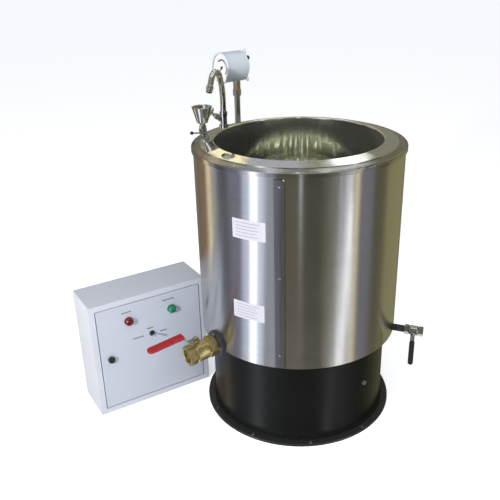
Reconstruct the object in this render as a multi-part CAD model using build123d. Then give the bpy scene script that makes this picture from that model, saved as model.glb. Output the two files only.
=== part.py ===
# Steam cooking kettle with its fittings and the control cabinet that stands beside it.
# Millimetres, Z up, the origin on the floor under the centre of the vessel.
import os
from math import cos, degrees, radians, sin, sqrt, tan

from build123d import *

os.makedirs("parts", exist_ok=True)

# Driving dimensions of the kettle body
mouth_radius = 249.0        # middle of the vessel wall
mouth_height = 890.0        # top of the rolled mouth above the floor
vessel_wall = 2.0
vessel_bottom = 385.0       # lowest point of the dished bottom
crown_radius = 480.0
knuckle_radius = 60.0
mouth_roll = 5.0
collar_radius = 290.0
collar_fall = 9.0           # how far the collar falls from the mouth to its edge
deck_sheet = 1.5
deck_lap = 11.0             # how far the deck reaches under the collar
rim_radius = 316.2
rim_skirt = 13.0
rim_roll = 3.0
groove_depth = 2.2
casing_radius = 311.2
casing_sheet = 1.2
casing_bottom = 285.6
floor_sheet = 1.5
floor_inner_radius = 258.0
floor_edge = 16.0
jacket_radius = 276.0
jacket_wall = 3.0
jacket_bottom = 354.0
jacket_top = 800.0
insulation_gap = 0.4
wool_clearance = 1.5
pedestal_radius = 280.0
pedestal_wall = 3.0
flange_radius = 306.0
flange_inner_radius = 252.0
flange_thickness = 8.0
foot_ring = 5.0
foot_ring_height = 9.0
anchor_circle = 295.0
anchor_hole = 11.0
anchor_count = 10
first_anchor = -81.0
running_gap = 0.05          # radial clearance of shafts and balls in their holes
small_gap = 0.3

# Front seam of the casing
seam_azimuth = -134.3
seam_width = 28.0
seam_thickness = 1.5
seam_top = 857.0
screw_heights = (329.0, 575.0, 837.0)
screw_head = 7.0
screw_shank = 4.0
screw_length = 7.0

# Steam generator and its heating bundle
generator_radius = 185.0
generator_wall = 4.0
generator_bottom = 72.0
generator_top = 245.0
neck_radius = 30.0
neck_reach = 105.0
neck_azimuths = (20.0, 100.0)
heater_azimuth = -90.0
heater_height = 120.0
heater_rod = 5.0
heater_bend = 14.0
heater_length = 300.0
heater_pitch = 34.0
heater_flange_radius = 58.0
heater_flange_thickness = 10.0

# Earthing bolt on the pedestal
earth_azimuth = -78.4
earth_height = 162.0
earth_shank = 8.0
earth_hex = 13.0
earth_head = 5.3
washer_radius = 8.0
washer_thickness = 1.6
earth_seat = 0.2            # how far the washer face follows the curve of the wall
earth_length = 15.0

# Drain: where its axis leaves the casing and how far it droops
drain_azimuth = 183.0
drain_height = 297.0
drain_droop = 5.0
drain_pipe_outer = 48.3
drain_pipe_bore = 42.0
drain_bend = 55.0
drain_plate_radius = 41.0
drain_plate = 8.0
saddle_depth = 4.0          # how far the plate reaches back round the casing
drain_bolt_circle = 66.0
drain_bolt_hex = 10.0
drain_bolt_head = 4.0
drain_bolt_shank = 6.0
drain_bolt_length = 14.0
drain_bolt_spread = 180.0
drain_bolt_count = 3
valve_hex = 58.0
valve_neck_radius = 26.5
valve_neck_end = 13.0
valve_body_radius = 30.5
valve_shoulder = 37.0       # end of the inner hexagon
valve_centre = 70.0         # ball centre, along the drain axis
valve_joint = 82.0          # face between the body and its end piece
valve_length = 108.0
valve_bore = 32.0
ball_radius = 23.0
seat_radius = 25.0
seat_thickness = 6.0
outlet_bore = 45.0
outlet_depth = 14.0
drain_pipe_end = 23.0
mouth_chamfer = 2.0
stem_radius = 6.0
stem_tower_radius = 11.0
stem_tower_top = 35.0
gland_hex = 22.0
gland_height = 6.0
lever_nut_hex = 17.0
lever_nut_height = 6.5
lever_width = 22.0
lever_sheet = 3.0
lever_rise = 31.0
lever_bend_start = 24.0     # from the stem to the first bend
lever_slope = 24.0
lever_tip = 146.0           # from the stem to the end of the strip
grip_start = 40.0
grip_end = 155.0
grip_width = 27.0
grip_thickness = 11.0

# Level cock: a half inch ball cock on a black nipple
cock_azimuth = -53.0
cock_height = 304.0
nipple_radius = 10.6
nipple_bore_radius = 7.5
nipple_end = 352.0
nipple_inner_end = 150.0
nipple_bend = 40.0
cock_start = 350.0
cock_end = 405.0
cock_hex = 27.0
cock_hex_length = 13.0
cock_barrel = 15.0
cock_socket = 10.0
cock_bore_radius = 6.0
cock_ball = 10.0
cock_stem = 4.0
cock_boss_radius = 9.0
cock_boss_end = 19.0
cock_rivet = 5.5
cock_rivet_height = 3.0
cock_lever_width = 13.0
cock_lever_sheet = 3.0
cock_lever_length = 60.0
cock_grip_start = 25.0
cock_grip_end = 112.0
cock_grip_width = 16.0
cock_grip_thickness = 9.0

# Pressure gauge on its riser
gauge_azimuth = 96.0
gauge_reach = 300.0
riser_radius = 9.5
riser_bore_radius = 6.5
riser_top = 970.0
riser_foot = 745.0
riser_bend = 25.0
coupling_radius = 13.5
coupling_bottom = 966.0
coupling_top = 986.0
adapter_hex = 22.0
adapter_spigot = 7.0
gauge_height = 1058.0
gauge_facing = 185.5        # azimuth that the dial faces
gauge_case_radius = 46.0
gauge_wall = 2.5
gauge_front = 61.0
gauge_rear = -22.0
bezel_radius = 48.0
bezel_width = 8.0
bezel_lip = 5.0
glass_thickness = 2.0
dial_place = 53.0
dial_thickness = 1.0
pointer_length = 31.0
pointer_tail = 9.0
pointer_width = 3.2
pointer_sheet = 1.0
pointer_hub = 4.5
pointer_shaft = 1.5
lug_count = 3
lug_reach = 56.0
lug_width = 14.0
lug_sheet = 3.0
lug_hole = 5.5
lug_first = -22.0
gland_out = 8.0
gland_across = 13.0
gland_side = 28.0
gland_up = 26.0

# Water tap
tap_azimuth = 117.0
tap_reach = 263.0
column_radius = 10.5
column_base_radius = 15.0
column_base = 896.0
column_top = 929.0
column_collar_radius = 12.0
column_collar = 6.0
column_tail = 850.0
column_tail_radius = 8.0
column_bore_radius = 6.0
sleeve_bore_radius = 4.5
sleeve_depth = 12.0
sleeve_floor = 3.0
neck_tube_radius = 9.0
neck_tube_wall = 1.5
neck_foot_radius = 12.5
neck_foot = 7.0
neck_straight = 45.0
neck_first_radius = 170.0
neck_first_turn = 25.0
neck_second_radius = 30.0
neck_second_turn = 125.0
neck_outlet = 23.0
neck_azimuth = -145.0
aerator_radius = 11.0
aerator_length = 20.0
bonnet_height = 908.0
bonnet_azimuth = 155.0
bonnet_rise = 35.0
boss_radius = 9.0
boss_end = 22.0
bonnet_hex = 17.0
bonnet_hex_length = 8.0
bonnet_end = 38.0
spindle_radius = 3.5
spindle_end = 51.0
handle_hub_radius = 8.0
handle_start = 42.0
handle_end = 54.0
handle_arm = 3.2
handle_reach = 20.0
handle_arms = 4

# Filling funnel, its little valve and the pipe down to the generator
funnel_azimuth = 131.2
funnel_reach = 300.5
funnel_wall = 1.2
funnel_top = 964.0
funnel_radius = 30.5
funnel_low = 916.0
funnel_low_radius = 16.0
funnel_foot = 904.0
funnel_foot_radius = 8.0
small_valve_centre = 889.0
small_neck_radius = 9.3
small_barrel_low = 882.0
small_barrel_radius = 12.5
small_barrel_high = 896.0
small_hex_low = 898.0
small_hex = 20.0
small_valve_top = 906.0
small_ball = 9.5
small_bore_radius = 5.5
small_stem = 3.5
small_stem_azimuth = 238.7
small_boss_radius = 7.0
small_boss_end = 18.0
small_lever_place = 22.0
small_lever_end = 27.0
small_lever_rod = 2.6
small_lever_reach = 32.0
small_lever_hub = 6.0
knob_radius = 5.5
fill_radius = 8.0
fill_bore_radius = 6.0
fill_turn_height = 318.0
fill_bend = 12.0
fill_inner_end = 160.0

# Control cabinet beside the kettle
cabinet_centre_x = -427.0
cabinet_front_y = 223.0
cabinet_width = 400.0
cabinet_height = 400.0
cabinet_depth = 150.0
cabinet_sheet = 1.5
frame_width = 18.5
frame_return = 9.0
door_gap = 3.0
door_depth = 14.0
pin_inset = 6.0
pin_radius = 2.5
pin_reach = 8.0
wall_hole = 9.0
wall_hole_pitch = 350.0
lamp_half_pitch = 75.0
lamp_height = 319.0
lamp_hole = 22.5
lamp_bezel = 14.5
lamp_lens = 12.5
lamp_lens_height = 17.0
lamp_bezel_height = 3.0
lamp_rear = 40.0
lamp_nut = 13.5
lamp_nut_thickness = 4.0
switch_height = 250.0
switch_hole = 12.2
switch_nut = 17.0
switch_nut_thickness = 3.0
switch_width = 18.0
switch_block = 26.0
switch_bush = 8.0
bat_root = 2.0
bat_tip = 3.6
bat_length = 24.0
bat_pivot = 3.0
bat_ball = 4.2
lock_inset = 32.0
lock_height = 200.0
lock_radius = 11.0
lock_head = 9.0
lock_barrel = 9.0
lock_slot = 3.0
cam_length = 40.0
cam_width = 12.0
cam_sheet = 2.5
cam_place = 19.0
plate_size = 340.0
plate_sheet = 2.0
plate_stand = 8.0
plate_foot = 12.0
contactor_width = 45.0
contactor_height = 78.0
contactor_depth = 80.0
contactor_x = -360.0
contactor_z = 180.0


def at(azimuth, reach, height, droop=0.0):
    """A frame whose X points outwards from the kettle's axis and falls by the droop."""
    return Rot(0, 0, azimuth) * Pos(reach, 0, height) * Rot(0, droop, 0)


def turned(points, axis=Axis.Z):
    """A turned solid from a closed outline: radius and height, or place and radius along X."""
    face = make_face(Polyline(*points, close=True))
    if axis == Axis.Z:
        face = Plane.XZ * face
    return revolve(face, axis=axis)


def disc(radius, low, high):
    """A plain round along X."""
    return Plane.YZ.offset(low) * extrude(Circle(radius), high - low)


def ring(outer, inner, low, high):
    """A round tube along Z, or a rod where the inner radius is nought."""
    section = Circle(outer) - Circle(inner) if inner else Circle(outer)
    return Pos(0, 0, low) * extrude(section, high - low)


def hexagon(across, low, high, chamfer=0.94):
    """A hexagon bar along X with its corners turned off."""
    bar = Plane.YZ.offset(low) * extrude(RegularPolygon(across / 2, 6, major_radius=False), high - low)
    corner = across / sqrt(3)
    fall = corner * (1 - chamfer)
    profile = [(low, 0), (low, corner - fall), (low + fall, corner), (high - fall, corner),
               (high, corner - fall), (high, 0)]
    return bar & turned(profile, Axis.X)


def folded(points, radius, thickness, side=Side.LEFT):
    """The section of a sheet that is bent along a line of points."""
    line = FilletPolyline(*points, radius=radius)
    return make_face(offset(line, amount=thickness, side=side, closed=True))


def dished(radius, bottom, top, crown, knuckle):
    """A closed round body with a dished bottom."""
    crown_centre = bottom + crown
    knuckle_centre = crown_centre - sqrt((crown - knuckle) ** 2 - (radius - knuckle) ** 2)
    side = (radius - knuckle) / (crown - knuckle)
    drop = (knuckle_centre - crown_centre) / (crown - knuckle)
    joint = (side * crown, crown_centre + drop * crown)
    outline = [
        RadiusArc((0, bottom), joint, -crown),
        RadiusArc(joint, (radius, knuckle_centre), -knuckle),
        Line((radius, knuckle_centre), (radius, top)),
        Line((radius, top), (0, top)),
        Line((0, top), (0, bottom)),
    ]
    return revolve(Plane.XZ * make_face(outline), axis=Axis.Z)


def pipe(path, outer, inner):
    """A round pipe along a path, with a bore unless the inner radius is nought."""
    section = Circle(outer) - Circle(inner) if inner else Circle(outer)
    return sweep(Plane(origin=path @ 0, z_dir=path % 0) * section, path=path)


def save(name, shape):
    """Write one piece, or one group of like pieces."""
    export_step(shape, "parts/" + name + ".step")


# The collar is one cone, and the deck lies one sheet below it and goes on at the same slope
collar_slope = collar_fall / (collar_radius - mouth_radius)
collar_drop = vessel_wall * sqrt(1 + collar_slope ** 2)


def collar_height(radius):
    """Top face of the collar's cone at a radius."""
    return mouth_height - collar_slope * (radius - mouth_radius)


def deck_height(radius):
    """Top face of the deck at a radius."""
    return collar_height(radius) - collar_drop


def below(height, inner, outer):
    """Everything that lies under a cone given by its height, between two radii."""
    low = casing_bottom
    return turned([(inner, low), (outer, low), (outer, height(outer)), (inner, height(inner))])


# Drain pipe route, used by every hole that it passes through
drain_turn_height = drain_height + casing_radius * tan(radians(drain_droop))
drain_out = at(drain_azimuth, casing_radius, drain_height, drain_droop)
drain_line = FilletPolyline(
    (0, vessel_bottom + vessel_wall + 4),
    (0, drain_turn_height),
    (casing_radius + drain_pipe_end * cos(radians(drain_droop)),
     drain_height - drain_pipe_end * sin(radians(drain_droop))),
    radius=drain_bend,
)
drain_path = Rot(0, 0, drain_azimuth) * (Plane.XZ * drain_line)
drain_bar = pipe(drain_path, drain_pipe_outer / 2, 0)
vessel_inside = dished(mouth_radius - vessel_wall / 2, vessel_bottom + vessel_wall, mouth_height + 40,
                       crown_radius - vessel_wall, knuckle_radius - vessel_wall)
drain_pipe = pipe(drain_path, drain_pipe_outer / 2, drain_pipe_bore / 2) - vessel_inside
save("drain_pipe", drain_pipe)

# Riser, filling pipe and level nipple run between the jacket and the casing
riser_line = FilletPolyline(
    (gauge_reach, riser_top),
    (gauge_reach, riser_foot),
    (jacket_radius - jacket_wall, riser_foot),
    radius=riser_bend - small_gap,
)
riser_path = Rot(0, 0, gauge_azimuth) * (Plane.XZ * riser_line)
riser_bar = pipe(riser_path, riser_radius, 0)
funnel_base = deck_height(funnel_reach)
fill_line = FilletPolyline(
    (funnel_reach, funnel_base + small_gap),
    (funnel_reach, fill_turn_height),
    (fill_inner_end, fill_turn_height),
    (fill_inner_end, generator_top),
    radius=fill_bend,
)
fill_path = Rot(0, 0, funnel_azimuth) * (Plane.XZ * fill_line)
fill_bar = pipe(fill_path, fill_radius, 0)
save("filling_pipe", pipe(fill_path, fill_radius, fill_bore_radius))
nipple_line = FilletPolyline(
    (nipple_end + cock_socket, cock_height),
    (nipple_inner_end, cock_height),
    (nipple_inner_end, generator_top),
    radius=nipple_bend,
)
nipple_path = Rot(0, 0, cock_azimuth) * (Plane.XZ * nipple_line)
nipple_bar = pipe(nipple_path, nipple_radius, 0)
save("gauge_riser", pipe(riser_path, riser_radius, riser_bore_radius))
save("level_nipple", pipe(nipple_path, nipple_radius, nipple_bore_radius))

# Cooking vessel: dished bottom, straight wall, rolled mouth and the collar that slopes outwards
tap_place = at(tap_azimuth, tap_reach, 0)
wall_outer = mouth_radius + vessel_wall / 2
wall_inner = mouth_radius - vessel_wall / 2
bowl = dished(wall_outer, vessel_bottom, mouth_height - 3 * mouth_roll, crown_radius, knuckle_radius)
bowl -= vessel_inside
collar = folded(
    [(wall_inner, mouth_height - 3 * mouth_roll),
     (wall_inner, collar_height(wall_inner)),
     (collar_radius, collar_height(collar_radius))],
    mouth_roll, vessel_wall, Side.RIGHT)
cooking_vessel = bowl + revolve(Plane.XZ * collar, axis=Axis.Z)
cooking_vessel -= drain_bar
cooking_vessel -= tap_place * ring(column_tail_radius + running_gap, 0, column_tail, column_base)
save("cooking_vessel", cooking_vessel)

# Top deck: goes on from under the collar to the groove, the rim bead and the skirt
deck_inner = collar_radius - deck_lap
groove_radius = casing_radius - casing_sheet / 2
deck_section = folded(
    [(deck_inner, deck_height(deck_inner)),
     (groove_radius - groove_depth, deck_height(groove_radius - groove_depth)),
     (groove_radius, deck_height(groove_radius) - groove_depth),
     (groove_radius + groove_depth, deck_height(groove_radius)),
     (rim_radius, deck_height(groove_radius)),
     (rim_radius, deck_height(groove_radius) - rim_skirt)],
    (0.6, 0.6, 0.6, rim_roll), deck_sheet, Side.RIGHT)
top_deck = revolve(Plane.XZ * deck_section, axis=Axis.Z)
for bar in (riser_bar, fill_bar):
    top_deck -= bar
save("top_deck", top_deck)

# Casing, its front seam strip and the screws through both
casing_top = deck_height(groove_radius) - groove_depth - deck_sheet - small_gap / 3
screw_place = [at(seam_azimuth, casing_radius, height) for height in screw_heights]
screw_holes = [place * disc(screw_shank / 2 + running_gap, -screw_length, screw_length)
               for place in screw_place]
casing = ring(casing_radius, casing_radius - casing_sheet, casing_bottom, casing_top)
casing -= drain_out * disc(drain_pipe_outer / 2 + 1, -60, 20)
casing -= at(cock_azimuth, 0, cock_height) * disc(nipple_radius + 1, nipple_inner_end, nipple_end)
plate_bolts = PolarLocations(drain_bolt_circle / 2, drain_bolt_count, 0, drain_bolt_spread, endpoint=True)
bolt_row = [drain_out * Plane.YZ.location * spot for spot in plate_bolts]
for spot in bolt_row:
    casing -= spot * Cylinder(drain_bolt_shank / 2 + running_gap, 60)
for hole in screw_holes:
    casing -= hole
save("casing_shell", casing)

seam_turn = degrees(seam_width / casing_radius)
strip_outer = casing_radius + seam_thickness
strip = Plane.XZ * make_face(Polyline(
    (casing_radius, casing_bottom), (strip_outer, casing_bottom + 1), (strip_outer, seam_top - 1),
    (casing_radius, seam_top), close=True))
strip = revolve(strip, axis=Axis.Z, revolution_arc=seam_turn)
strip = Rot(0, 0, seam_azimuth - seam_turn / 2) * strip
for hole in screw_holes:
    strip -= hole
save("seam_strip", strip)

head_face = [(seam_thickness, 0), (seam_thickness, screw_head / 2), (seam_thickness + 1, screw_head / 2),
             (seam_thickness + 2.4, screw_head / 4), (seam_thickness + 2.6, 0)]
screw = turned(head_face, Axis.X) + disc(screw_shank / 2, -screw_length + 1, seam_thickness)
save("seam_screws", Compound(children=[place * screw for place in screw_place]))

# Casing floor: a ring with its outer edge turned up inside the casing
floor_outer = casing_radius - casing_sheet
casing_floor = ring(floor_outer, floor_inner_radius, casing_bottom, casing_bottom + floor_sheet)
casing_floor += ring(floor_outer, floor_outer - floor_sheet, casing_bottom, casing_bottom + floor_edge)
drain_clear = drain_out * disc(drain_pipe_outer / 2 + 1, -120, 20)
casing_floor -= drain_clear
casing_floor -= at(cock_azimuth, 0, cock_height) * disc(nipple_radius + 1, nipple_inner_end, nipple_end)
for spot in bolt_row:
    casing_floor -= spot * Cylinder(drain_bolt_shank / 2 + running_gap, 60)
save("casing_floor", casing_floor)

# Steam jacket: dished shell round the vessel, closed by a ring at the top, on a skirt to the floor
jacket_outer = dished(jacket_radius, jacket_bottom, jacket_top, crown_radius, knuckle_radius)
jacket_inner = dished(jacket_radius - jacket_wall, jacket_bottom + jacket_wall, jacket_top,
                      crown_radius - jacket_wall, knuckle_radius - jacket_wall)
skirt = ring(jacket_radius, jacket_radius - jacket_wall, casing_bottom + floor_sheet,
             jacket_bottom + 2 * knuckle_radius)
jacket = jacket_outer - jacket_inner + (skirt - jacket_inner)
jacket += ring(jacket_radius, wall_outer, jacket_top - jacket_wall, jacket_top)
necks = Compound(children=[at(turn, neck_reach, 0) * ring(neck_radius, neck_radius - 2.5, generator_top, 420)
                           for turn in neck_azimuths])
neck_holes = [at(turn, neck_reach, 0) * ring(neck_radius - 2.5, 0, generator_top, 420)
              for turn in neck_azimuths]
for hole in neck_holes:
    jacket -= hole
for bar in (drain_bar, riser_bar, fill_bar, nipple_bar):
    jacket -= bar
save("steam_jacket", jacket)

# Insulation between the jacket and the casing
wool_in = jacket_radius + insulation_gap
wool_out = casing_radius - casing_sheet - insulation_gap
wool_low = casing_bottom + floor_edge + insulation_gap
wool_top = deck_height(groove_radius) - 4 * groove_depth
wool = turned([
    (wool_in, wool_low), (wool_out, wool_low), (wool_out, wool_top),
    (wall_outer + insulation_gap, wool_top), (wall_outer + insulation_gap, jacket_top + insulation_gap),
    (wool_in, jacket_top + insulation_gap)])
for path, radius in ((riser_path, riser_radius), (fill_path, fill_radius), (nipple_path, nipple_radius),
                     (drain_path, drain_pipe_outer / 2)):
    wool -= pipe(path, radius + wool_clearance, 0)
wool -= tap_place * ring(column_tail_radius + insulation_gap, 0, column_tail - wool_clearance, column_base)
for place in screw_place:
    wool -= place * disc(screw_shank, -screw_length, 0)
for spot in bolt_row:
    wool -= spot * Cylinder(drain_bolt_shank / 2 + insulation_gap, 60)
save("insulation", wool)

# Steam generator: closed drum in the pedestal, joined to the jacket by its steam necks
drum = ring(generator_radius, 0, generator_bottom, generator_top)
drum -= ring(generator_radius - generator_wall, 0, generator_bottom + generator_wall,
             generator_top - generator_wall)
drum += necks - jacket_outer
heater_place = at(heater_azimuth, 0, heater_height)
nozzle_end = generator_radius + 12
nozzle = heater_place * disc(heater_flange_radius, generator_radius - 25, nozzle_end)
drum += nozzle - ring(generator_radius - generator_wall, 0, generator_bottom, generator_top)
drum -= heater_place * disc(heater_flange_radius - 12, generator_radius - 40, nozzle_end)
for hole in neck_holes:
    drum -= hole
for place, hole in ((at(funnel_azimuth, fill_inner_end, 0), fill_bore_radius),
                    (at(cock_azimuth, nipple_inner_end, 0), nipple_bore_radius)):
    drum -= place * ring(hole, 0, generator_top - 2 * generator_wall, generator_top + 1)
save("steam_generator", drum)

# Heating bundle: three bent rods in one flange
flange_disc = heater_place * disc(heater_flange_radius, nozzle_end, nozzle_end + heater_flange_thickness)
bundle = flange_disc
for row in (-1, 0, 1):
    rod_line = FilletPolyline(
        (nozzle_end + 24, heater_bend), (nozzle_end - heater_length, heater_bend),
        (nozzle_end - heater_length, -heater_bend), (nozzle_end + 24, -heater_bend),
        radius=heater_bend - small_gap)
    rod_path = heater_place * Pos(0, row * heater_pitch, 0) * (Plane.XZ * rod_line)
    bundle += pipe(rod_path, heater_rod, 0)
save("heating_elements", bundle)

# Pedestal skirt with its foot ring, and the base flange with the anchor holes
earth_place = at(earth_azimuth, pedestal_radius, earth_height)
pedestal = ring(pedestal_radius, pedestal_radius - pedestal_wall, flange_thickness, casing_bottom)
pedestal += ring(pedestal_radius + foot_ring, pedestal_radius - pedestal_wall, flange_thickness,
                 flange_thickness + foot_ring_height)
pedestal -= drain_clear
pedestal -= at(cock_azimuth, 0, cock_height) * disc(nipple_radius + 1, nipple_inner_end, nipple_end)
pedestal -= earth_place * disc(earth_shank / 2 + running_gap, -10, 10)
save("pedestal_skirt", pedestal)

flange = ring(flange_radius, flange_inner_radius, 0, flange_thickness)
flange = fillet(flange.edges().filter_by(GeomType.CIRCLE).sort_by(Axis.Z)[-2:].sort_by(SortBy.RADIUS)[-1], 2.5)
for spot in PolarLocations(anchor_circle, anchor_count, start_angle=first_anchor):
    flange -= spot * Pos(0, 0, flange_thickness / 2) * Cylinder(anchor_hole / 2, 3 * flange_thickness)
save("base_flange", flange)

bolt = hexagon(earth_hex, washer_thickness, washer_thickness + earth_head)
bolt += disc(washer_radius, -earth_seat, washer_thickness) + disc(earth_shank / 2, -earth_length, washer_thickness)
wall_round = Pos(-pedestal_radius, 0, 0) * ring(pedestal_radius, earth_seat, -earth_hex, earth_hex)
bolt -= wall_round - disc(earth_shank / 2, -earth_length - 1, 1)
save("earth_bolt", earth_place * bolt)

# Drain flange: a dark round plate against the casing, with four bolts
plate = disc(drain_plate_radius, -saddle_depth, drain_plate)
plate -= disc(drain_pipe_outer / 2 + running_gap, -2 * saddle_depth, 2 * drain_plate)
for spot in plate_bolts:
    plate -= Plane.YZ.location * spot * Cylinder(drain_bolt_shank / 2 + running_gap, 40)
plate = chamfer(plate.edges().filter_by(GeomType.CIRCLE).sort_by(Axis.X)[-6:].sort_by(SortBy.RADIUS)[-1], 1)
save("drain_flange", drain_out * plate - ring(casing_radius, 0, 0, 2 * drain_height))

one_bolt = hexagon(drain_bolt_hex, drain_plate, drain_plate + drain_bolt_head)
one_bolt += disc(drain_bolt_shank / 2, drain_plate - drain_bolt_length, drain_plate)
spin = Plane.YZ.location.inverse()
save("drain_flange_bolts", Compound(children=[spot * spin * one_bolt for spot in bolt_row]))

# Drain valve body: inner hexagon, round middle, stem tower, ball chamber
body = disc(valve_neck_radius, drain_plate, valve_neck_end + 1)
body += hexagon(valve_hex, valve_neck_end, valve_shoulder)
body += turned([
    (valve_shoulder, 0), (valve_shoulder, valve_body_radius - 4), (valve_shoulder + 3, valve_body_radius - 4),
    (valve_shoulder + 6, valve_body_radius), (valve_joint - 3, valve_body_radius),
    (valve_joint, valve_body_radius - 2), (valve_joint, 0)], Axis.X)
tower = Pos(valve_centre, 0, 0) * ring(stem_tower_radius, 0, 0, stem_tower_top)
tower = tower & disc(stem_tower_top + 20, 0, 2 * valve_centre)
body += tower - disc(valve_body_radius + 10, valve_joint, 2 * valve_centre)
seat_half = sqrt(ball_radius ** 2 - (valve_bore / 2) ** 2)
seat_low = valve_centre - seat_half + 2 - seat_thickness
seat_high = valve_centre + seat_half - 2 + seat_thickness
body -= disc(drain_pipe_outer / 2 + running_gap, drain_plate - 1, drain_pipe_end)
body -= disc(valve_bore / 2, 0, seat_low)
body -= disc(seat_radius, seat_low, valve_joint)
body -= Pos(valve_centre, 0, 0) * ring(stem_radius + running_gap, 0, 0, stem_tower_top + 1)
save("drain_valve_body", drain_out * body)

end_piece = hexagon(valve_hex - 2, valve_joint, valve_length)
end_piece -= disc(seat_radius, valve_joint - 1, seat_high)
end_piece -= disc(valve_bore / 2, valve_joint, valve_length)
end_piece -= disc(outlet_bore / 2, valve_length - outlet_depth, valve_length + 1)
end_piece -= turned([(valve_length - mouth_chamfer, 0), (valve_length - mouth_chamfer, outlet_bore / 2),
                     (valve_length, outlet_bore / 2 + mouth_chamfer), (valve_length, 0)], Axis.X)
save("drain_valve_end", drain_out * end_piece)

# Each seat is a ring with a round lip that fits the ball
touch_radius = ball_radius + running_gap
lip_low = -sqrt(touch_radius ** 2 - (valve_bore / 2) ** 2)
lip_high = seat_low + seat_thickness - valve_centre
lip_radius = sqrt(touch_radius ** 2 - lip_high ** 2)
seat_back = seat_low - valve_centre
seat_edge = seat_radius - running_gap
seat = revolve(make_face([
    Line((seat_back, valve_bore / 2), (lip_low, valve_bore / 2)),
    RadiusArc((lip_low, valve_bore / 2), (lip_high, lip_radius), touch_radius),
    Line((lip_high, lip_radius), (lip_high, seat_edge)),
    Line((lip_high, seat_edge), (seat_back, seat_edge)),
    Line((seat_back, seat_edge), (seat_back, valve_bore / 2))]), axis=Axis.X)
ball_place = drain_out * Pos(valve_centre, 0, 0)
save("drain_seats", Compound(children=[ball_place * Rot(0, 0, turn) * seat for turn in (0, 180)]))

# Ball with its bore and stem slot, and the stem that turns it
slot_width = 5.0
slot_depth = 4.0
ball = Pos(valve_centre, 0, 0) * Sphere(ball_radius)
ball -= disc(valve_bore / 2, 0, 2 * valve_centre)
slot_base = ball_radius - slot_depth
ball -= Pos(valve_centre, 0, slot_base + slot_depth) * Box(2 * ball_radius, slot_width, 2 * slot_depth)
save("drain_ball", drain_out * ball)

lever_base = stem_tower_top + gland_height + small_gap
lever_top = lever_base + lever_sheet
stem_top = lever_top + lever_nut_height + 1.5
stem = ring(stem_radius, 0, ball_radius + running_gap, stem_top)
stem += Pos(0, 0, slot_base + slot_depth / 2 + 0.5) * Box(9, slot_width - 0.1, slot_depth + 1)
stem = chamfer(stem.edges().filter_by(GeomType.CIRCLE).sort_by(Axis.Z)[-1], 0.8)
save("drain_stem", drain_out * Pos(valve_centre, 0, 0) * stem)

up = Rot(0, -90, 0)
gland_nut = up * hexagon(gland_hex, stem_tower_top, stem_tower_top + gland_height)
gland_nut -= ring(stem_radius + running_gap, 0, stem_tower_top - 1, stem_top)
save("drain_gland_nut", drain_out * Pos(valve_centre, 0, 0) * gland_nut)

# Lever: a strip that rises from the stem, with the sleeve of the grip over its end
grip_level = lever_base + lever_rise
lever_section = folded(
    [(-lever_width / 2, lever_base), (lever_bend_start, lever_base),
     (lever_bend_start + lever_slope, grip_level), (lever_tip, grip_level)],
    6.0, lever_sheet, Side.LEFT)
lever = extrude(Plane.XZ * lever_section, lever_width / 2, both=True)
lever = fillet(lever.edges().filter_by(Axis.Z).sort_by(Axis.X)[:2], lever_width / 2 - 1)
lever -= ring(stem_radius + running_gap, 0, lever_base - 1, stem_top)
save("drain_lever", drain_out * Pos(valve_centre, 0, 0) * lever)

grip_middle = grip_level + lever_sheet / 2
grip = Pos((grip_start + grip_end) / 2, 0, grip_middle) * Box(grip_end - grip_start, grip_width, grip_thickness)
grip = fillet(grip.edges().filter_by(Axis.Z).sort_by(Axis.X)[-2:], grip_width / 2 - 2)
grip = fillet(grip.edges().filter_by(Axis.X), grip_thickness / 2 - 1.5)
grip -= lever
save("drain_grip", drain_out * Pos(valve_centre, 0, 0) * grip)

lever_nut = up * hexagon(lever_nut_hex, lever_top, lever_top + lever_nut_height)
lever_nut -= ring(stem_radius, 0, lever_top - 1, stem_top + 1)
save("drain_lever_nut", drain_out * Pos(valve_centre, 0, 0) * lever_nut)

# Level cock body
cock_out = at(cock_azimuth, 0, cock_height)
cock_centre = (cock_start + cock_end) / 2
cock_body = hexagon(cock_hex, cock_start, cock_start + cock_hex_length)
cock_body += hexagon(cock_hex, cock_end - cock_hex_length, cock_end)
cock_body += turned([
    (cock_start + cock_hex_length, 0), (cock_start + cock_hex_length, cock_barrel - 3),
    (cock_start + cock_hex_length + 4, cock_barrel), (cock_end - cock_hex_length - 4, cock_barrel),
    (cock_end - cock_hex_length, cock_barrel - 3), (cock_end - cock_hex_length, 0)], Axis.X)
side_out = Pos(cock_centre, 0, 0) * Rot(0, 0, -90)
cock_body += side_out * disc(cock_boss_radius, 0, cock_boss_end)
cock_body -= disc(nipple_radius + running_gap, cock_start - 1, nipple_end + cock_socket)
cock_body -= disc(cock_bore_radius, cock_start, cock_end)
cock_body -= disc(nipple_radius - 1, cock_end - cock_socket, cock_end + 1)
cock_body -= Pos(cock_centre, 0, 0) * Sphere(cock_ball + running_gap)
cock_body -= side_out * disc(cock_stem + running_gap, 0, cock_boss_end + 1)
save("level_cock_body", cock_out * cock_body)

cock_lever_low = cock_boss_end + small_gap
cock_lever_high = cock_lever_low + cock_lever_sheet
plug = Sphere(cock_ball) + disc(cock_stem, 0, cock_lever_high)
plug += turned([(cock_lever_high, 0), (cock_lever_high, cock_rivet), (cock_lever_high + 1, cock_rivet),
                (cock_lever_high + cock_rivet_height, cock_rivet / 2),
                (cock_lever_high + cock_rivet_height, 0)], Axis.X)
plug -= Cylinder(cock_bore_radius, 3 * cock_ball)
save("level_cock_plug", cock_out * side_out * plug)

cock_lever = Plane.YZ.offset(cock_lever_low) * extrude(
    Pos(0, -cock_lever_length / 2 + cock_lever_width / 4)
    * RectangleRounded(cock_lever_width, cock_lever_length + cock_lever_width / 2, cock_lever_width / 2 - 0.5),
    cock_lever_sheet)
cock_lever -= disc(cock_stem + running_gap, 0, 2 * cock_lever_high)
save("level_cock_lever", cock_out * side_out * cock_lever)

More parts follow.
